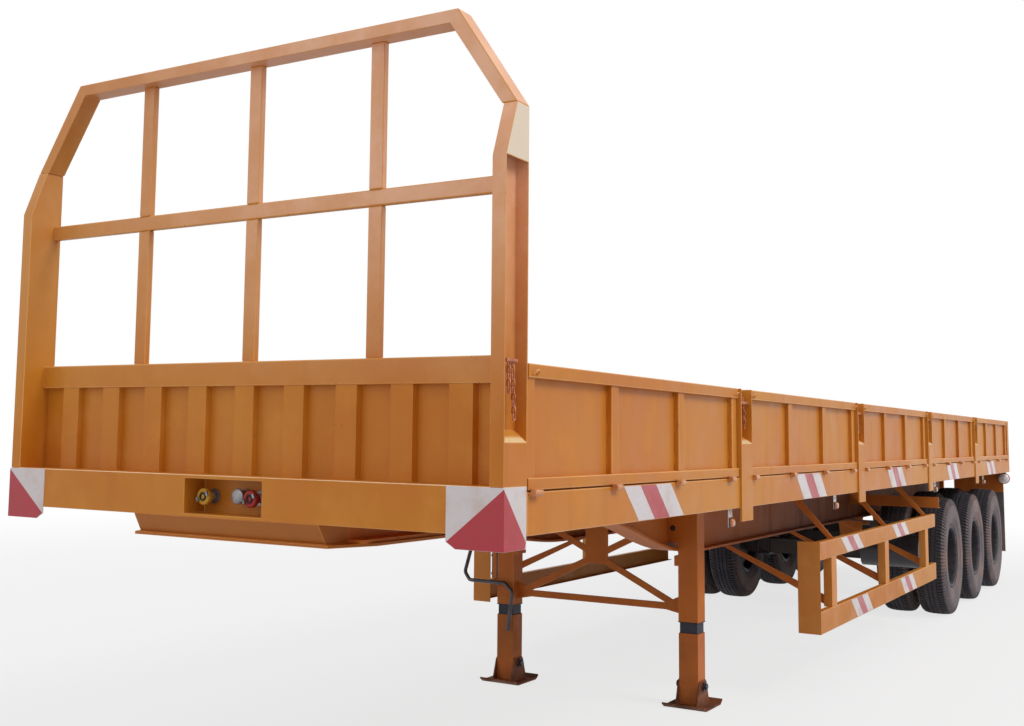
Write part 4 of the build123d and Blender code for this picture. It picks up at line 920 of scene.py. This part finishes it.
# ---- Lamps ----
def lens_block(shape, centre, w, h, depth, normal, slot):
    """Rounded lens that stands out along a level normal; h is its height."""
    side = Z.cross(normal)
    rings = []
    for out, shrink in ((0, 0), (0.55, 0.001), (0.85, 0.004), (1, 0.01)):
        r = max(min(w, h) * 0.28 - shrink * 0.5, 0.002)
        rings.append([Vector(centre) + normal * depth * out + side * a + Z * b
                      for a, b in round_rect(w - 2 * shrink, h - 2 * shrink, r, 4)])
    shape.loft(rings, slot, True)


s = Shape()
low, high = box("side_lamps")
LAMP_AT = (2.378, 4.399, 7.789, 10.49)   # behind the bolster's front face
for sign in (1, -1):
    out = X * sign
    for d in LAMP_AT:
        at = Vector((sign * (high.x - 0.024), FRONT + d, low.z + 0.026))
        s.bar((at.x, at.y, low.z + 0.002), (at.x, at.y, high.z - 0.0005), 0.004, 0.058, 0.0015, X)
        s.block((at.x - sign * 0.012, at.y, high.z - 0.0025), Y * 0.029, 0.024, 0.005, 0.0012, X)
        s.bar(at + out * 0.002, at + out * 0.008, 0.056, 0.048, 0.006, Y, 2)
        lens_block(s, at + out * 0.008, 0.048, 0.04, 0.014, out, 1)
        s.bolt((at.x + sign * 0.002, at.y, high.z - 0.024), out, 0.006, 0.005)
ob = even(s.piece("side_marker_lamps", "marker_white amber_lens lamp_shell", "lamp_amber"))
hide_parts("side_lamps")

s = Shape()
low, high = box("rear_lamps")
LAMP_W, LAMP_H, LAMP_D, LAMP_X = 0.26, 0.09, 0.08, 1.085
CORNER_R, CORNER_HALF, CORNER_DROP, CORNER_IN, CORNER_AHEAD = 0.064, 0.05, 0.073, 0.044, 0.105
for sign in (1, -1):
    x0, z = sign * (LAMP_X - LAMP_W / 2), high.z - LAMP_H / 2
    s.bar((x0, high.y - LAMP_D, z), (x0, high.y - 0.014, z), LAMP_W, LAMP_H, 0.01, X, inset=0.004)
    s.bar((x0, high.y - 0.016, z), (x0, high.y - 0.006, z), LAMP_W - 0.01, LAMP_H - 0.01, 0.01, X)
    for k, colour in enumerate((2, 1, 3)):
        x = x0 + sign * (1 - k) * 0.08
        lens_block(s, (x, high.y - 0.007, z), 0.074, 0.07, 0.0065, Y, colour)
        for dx in (-0.03, 0.03):
            s.bolt((x + dx, high.y - 0.0066, z + 0.038), Y, 0.003, 0.002, 4, washer=0)
    r, h = CORNER_R, CORNER_HALF
    at = (sign * (HALF_W - CORNER_IN), high.y - CORNER_AHEAD - h, high.z - CORNER_DROP)
    s.block((sign * (HALF_W - 0.04), at[1], high.z - 0.01), Y * 0.036, 0.04, 0.02, 0.004, X)
    s.lathe([(-h * 0.42, r * 0.84), (-h * 0.42, r * 0.96), (-h * 0.34, r), (h * 0.34, r), (h * 0.42, r * 0.96),
             (h * 0.42, r * 0.84)], at, Y, 36, 5)
    dome = [(h * a, r * b) for a, b in ((0.42, 0.92), (0.62, 0.88), (0.8, 0.74), (0.93, 0.48), (0.98, 0.22), (1, 0))]
    for way, colour in ((1, 1), (-1, 3)):
        s.lathe(dome, at, Y * way, 36, colour)
ob = even(s.piece("rear_light_set", "lamp_shell red_lens amber_lens clear_lens bare_steel red_plastic", "lamp_red"))
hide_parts("rear_lamps")


# ---- Couplings in the bolster recess ----
s = Shape()
recess = box("service_couplings")[1].y   # back wall of the recess, behind the couplings
mounts = {m["name"]: Vector((m["pos_m"][0], recess, m["pos_m"][2])) for m in frame["record"]["mounts"]}
for mount, colour in (("service_line_coupling", 1), ("supply_line_coupling", 2)):
    at = mounts[mount]
    s.lathe(mm((0, 30), (6, 30), (7, 28)), at, -Y, 24)
    s.lathe(mm((7, 20), (20, 20), (22, 17)), at, -Y, 6, 0, False)
    s.lathe(mm((20, 14), (40, 14), (44, 22), (48, 31), (52, 34), (66, 34), (70, 31), (71, 20), (68.5, 18),
               (68.5, 0)), at, -Y, 28, colour)
    s.lathe(mm((68, 16.5), (74, 16), (75.5, 13.5), (74, 11), (68, 10.5)), at, -Y, 24, 3)
    for a in turns(2, 0.15):
        claw = Vector((cos(a), 0, sin(a)))
        s.bar(at + claw * 0.027 - Y * 0.072, at + claw * 0.027 - Y * 0.08, 0.011, 0.02, 0.003, claw)
at = mounts["electric_socket"]
s.lathe(mm((0, 29), (10, 29), (12, 24), (40, 24), (43, 29), (50, 29.5)), at, -Y, 28)
s.lathe(mm((50, 28.5), (53, 29.5), (56, 29), (58, 24), (59.5, 10), (59.5, 0)), at, -Y, 28)
s.tube([at + Vector((x, -0.05, 0.029)) for x in (-0.014, 0.014)], 0.0035, 10)
s.block(at + Vector((0, -0.0575, -0.003)), Z * -0.023, 0.01, 0.003, 0.001, X)
ob = even(s.piece("line_couplings", "coupling_metal yellow_plastic red_plastic seal_rubber", "coupling_metal"))
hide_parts("service_couplings")


# ---- Landing gear fittings ----
s = Shape()
foot_low, foot_high = box("landing_feet")
low, high = box("landing_legs")
LEG_X = (foot_high.x - 0.13 + high.x - 0.06) / 2
LEG_Y = (foot_low.y + foot_high.y) / 2
for sign in (1, -1):
    for reach in (-1, 1):
        s.bolt((sign * LEG_X + reach * 0.079, LEG_Y, foot_high.z - 0.032), X * reach, 0.02, 0.012)
    for drop in (0.05, 0.15, 0.25):
        for y, way in ((low.y, -1), (high.y, 1)):
            s.bolt((sign * 0.522, y, high.z - drop), Y * way)
    corners = [(sign * LEG_X + dx * 0.0605, LEG_Y + dy * 0.0605, low.z + 0.001) for dx, dy in CORNERS]
    for a, b in zip(corners, corners[1:] + corners[:1]):
        s.bead(a, b)
even(s.piece("landing_gear_bolts", "dark_steel", "dark_steel"))


def rounded(points, radius, steps=6):
    """A path with each corner turned into an arc."""
    points = [Vector(p) for p in points]
    path = [points[0]]
    for before, corner, after in zip(points, points[1:], points[2:]):
        a, b = (before - corner).normalized(), (after - corner).normalized()
        half = a.angle(b) / 2
        reach = radius / tan(half)
        centre = corner + (a + b).normalized() * radius / sin(half)
        start, end = corner + a * reach - centre, corner + b * reach - centre
        sweep = start.angle(end)
        for k in range(steps + 1):
            t = k / steps * sweep
            path.append(centre + (start * sin(sweep - t) + end * sin(t)) / sin(sweep))
    return path + [points[-1]]


# gearbox on the right-hand leg and the folded crank
GEAR_W, GEAR_HALF, GEAR_LOW, GEAR_HIGH, SHAFT_Z = 0.048, 0.058, 0.643, 0.93, 0.87
s = Shape()
face = -(LEG_X + 0.06)
cover = face - GEAR_W + 0.001
mid_z, half_z = (GEAR_LOW + GEAR_HIGH) / 2, (GEAR_HIGH - GEAR_LOW) / 2
s.block((face - GEAR_W / 2, LEG_Y, mid_z), Z * half_z, GEAR_W, GEAR_HALF * 2, 0.01, X, 0, 1)
s.block((cover, LEG_Y, mid_z), Z * (half_z - 0.012), 0.008, GEAR_HALF * 2 - 0.022, 0.003, X, 0, 1)
s.lathe(mm((0, 30), (12, 30), (15, 27), (15, 12)), (cover - 0.003, LEG_Y, SHAFT_Z), -X, 24)
for dy in (-0.038, 0.038):
    for z in (GEAR_LOW + 0.028, mid_z, GEAR_HIGH - 0.026):
        s.bolt((cover - 0.004, LEG_Y + dy, z), -X, 0.007, 0.005, 2)
crank = mm((-48, 0, 870), (-220, 0, 870), (-245, -60, 670), (-190, -93, 625), (75, -93, 622), (128, -93, 570),
           (96, -93, 326))
s.tube(rounded([(face + x, LEG_Y + y, z) for x, y, z in crank], 0.036), 0.012, 14, 1)
ob = even(s.piece("gearbox_and_crank", "under_paint crank_steel dark_steel", "dark_steel"))
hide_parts("landing_crank")


# ---- Chequered floor ----
s = Shape()
low, high = box("deck_floor")
PITCH, LONG, WIDE, RISE = 0.066, 0.023, 0.0065, 0.0024
count_x, count_y = (int((high[k] - low[k] - 0.05) / PITCH) for k in (0, 1))
# one lozenge as (along, across, up)
LOZENGE = ((-LONG, 0, 0), (0, -WIDE, 0), (LONG, 0, 0), (0, WIDE, 0), (-LONG * 0.55, 0, RISE), (LONG * 0.55, 0, RISE))
for i in range(count_x):
    for j in range(count_y):
        x = (i - (count_x - 1) / 2) * PITCH
        y = (low.y + high.y) / 2 + (j - (count_y - 1) / 2) * PITCH
        a = pi / 4 if (i + j) % 2 else -pi / 4
        verts = [(x + cos(a) * p - sin(a) * q, y + sin(a) * p + cos(a) * q, DECK_Z + z) for p, q, z in LOZENGE]
        s.add(verts, [(0, 1, 5, 4), (1, 2, 5), (2, 3, 4, 5), (3, 0, 4)])
s.piece("floor_chequers", "deck_steel", "deck_steel", crease=0)


# ---- Camera, light and floor ----
CAMERA_AT = (3.2314, FRONT - 3.5669, 1.5676)
YAW, PITCH_UP, ROLL = -0.5714, 0.1015, 0.0149
forward = Vector((sin(YAW) * cos(PITCH_UP), cos(YAW) * cos(PITCH_UP), sin(PITCH_UP)))
level = Vector((cos(YAW), -sin(YAW), 0))
upright = level.cross(forward)
right = level * cos(ROLL) + upright * sin(ROLL)
up = upright * cos(ROLL) - level * sin(ROLL)
optics = bpy.data.cameras.new("camera")
optics.sensor_width, optics.lens = 36, 42.502
optics.shift_x, optics.shift_y = 0.0825, -0.0509
optics.clip_start, optics.clip_end = 0.1, 500
camera = linked("camera", optics)
camera.matrix_world = Matrix.Translation(CAMERA_AT) @ Matrix((right, up, -forward)).transposed().to_4x4()
scene.camera = camera


def show(tree, share, lit, flat):
    """The camera, a reflection or a glass sees that share of the flat shader. The rest is the lit one."""
    camera_ray, glossy, through = (tree.node("LightPath", output=f"Is {ray} Ray")
                                   for ray in ("Camera", "Glossy", "Transmission"))
    seen = tree.math("MAXIMUM", tree.math("MAXIMUM", camera_ray, glossy), through)
    tree.feed(tree.surface, tree.node("MixShader", (tree.times(share, seen), lit, flat)))


# the sky is brighter overhead than at the horizon
scene.world = bpy.data.worlds.new("studio")
sky = Tree(scene.world, "World")
height = sky.node("SeparateXYZ", (sky.node("TexCoord", output="Generated"),), "Z")
glow = sky.ramp(height, 0, 0.9, 0.34, 0.8, "LINEAR")
ambient = sky.node("Background", dict(Color=(0.98, 0.985, 1, 1), Strength=glow))
show(sky, 1, ambient, sky.node("Background", dict(Color=0xFFFFFF, Strength=1)))

for name, direction, strength, angle in (("key", (0.78, 0.06, 0.66), 1.36, 28), ("fill", (-0.35, -0.85, 0.4), 0.6, 90)):
    lamp = bpy.data.lights.new(name, "SUN")
    lamp.energy, lamp.angle, lamp.color = strength, radians(angle), (1, 0.98, 0.95)
    ob = linked(name, lamp)
    ob.rotation_mode = "QUATERNION"
    ob.rotation_quaternion = Vector(direction).to_track_quat("Z", "Y")

ground = Shape()
ground.add([(90 * x, 90 * y, 0) for x, y in CORNERS], [range(4)])
tree = Tree(look("pale_floor"))
diffuse = tree.node("BsdfDiffuse", dict(Color=(0.56, 0.56, 0.56, 1)))
far = tree.node("VectorMath", (tree.place,), "Value", operation="LENGTH")
show(tree, tree.ramp(far, 6, 17, 0.74, 1), diffuse, tree.node("Emission"))
floor = linked("studio_floor", ground.mesh("studio_floor", "pale_floor"))

scene.view_settings.view_transform = "Standard"
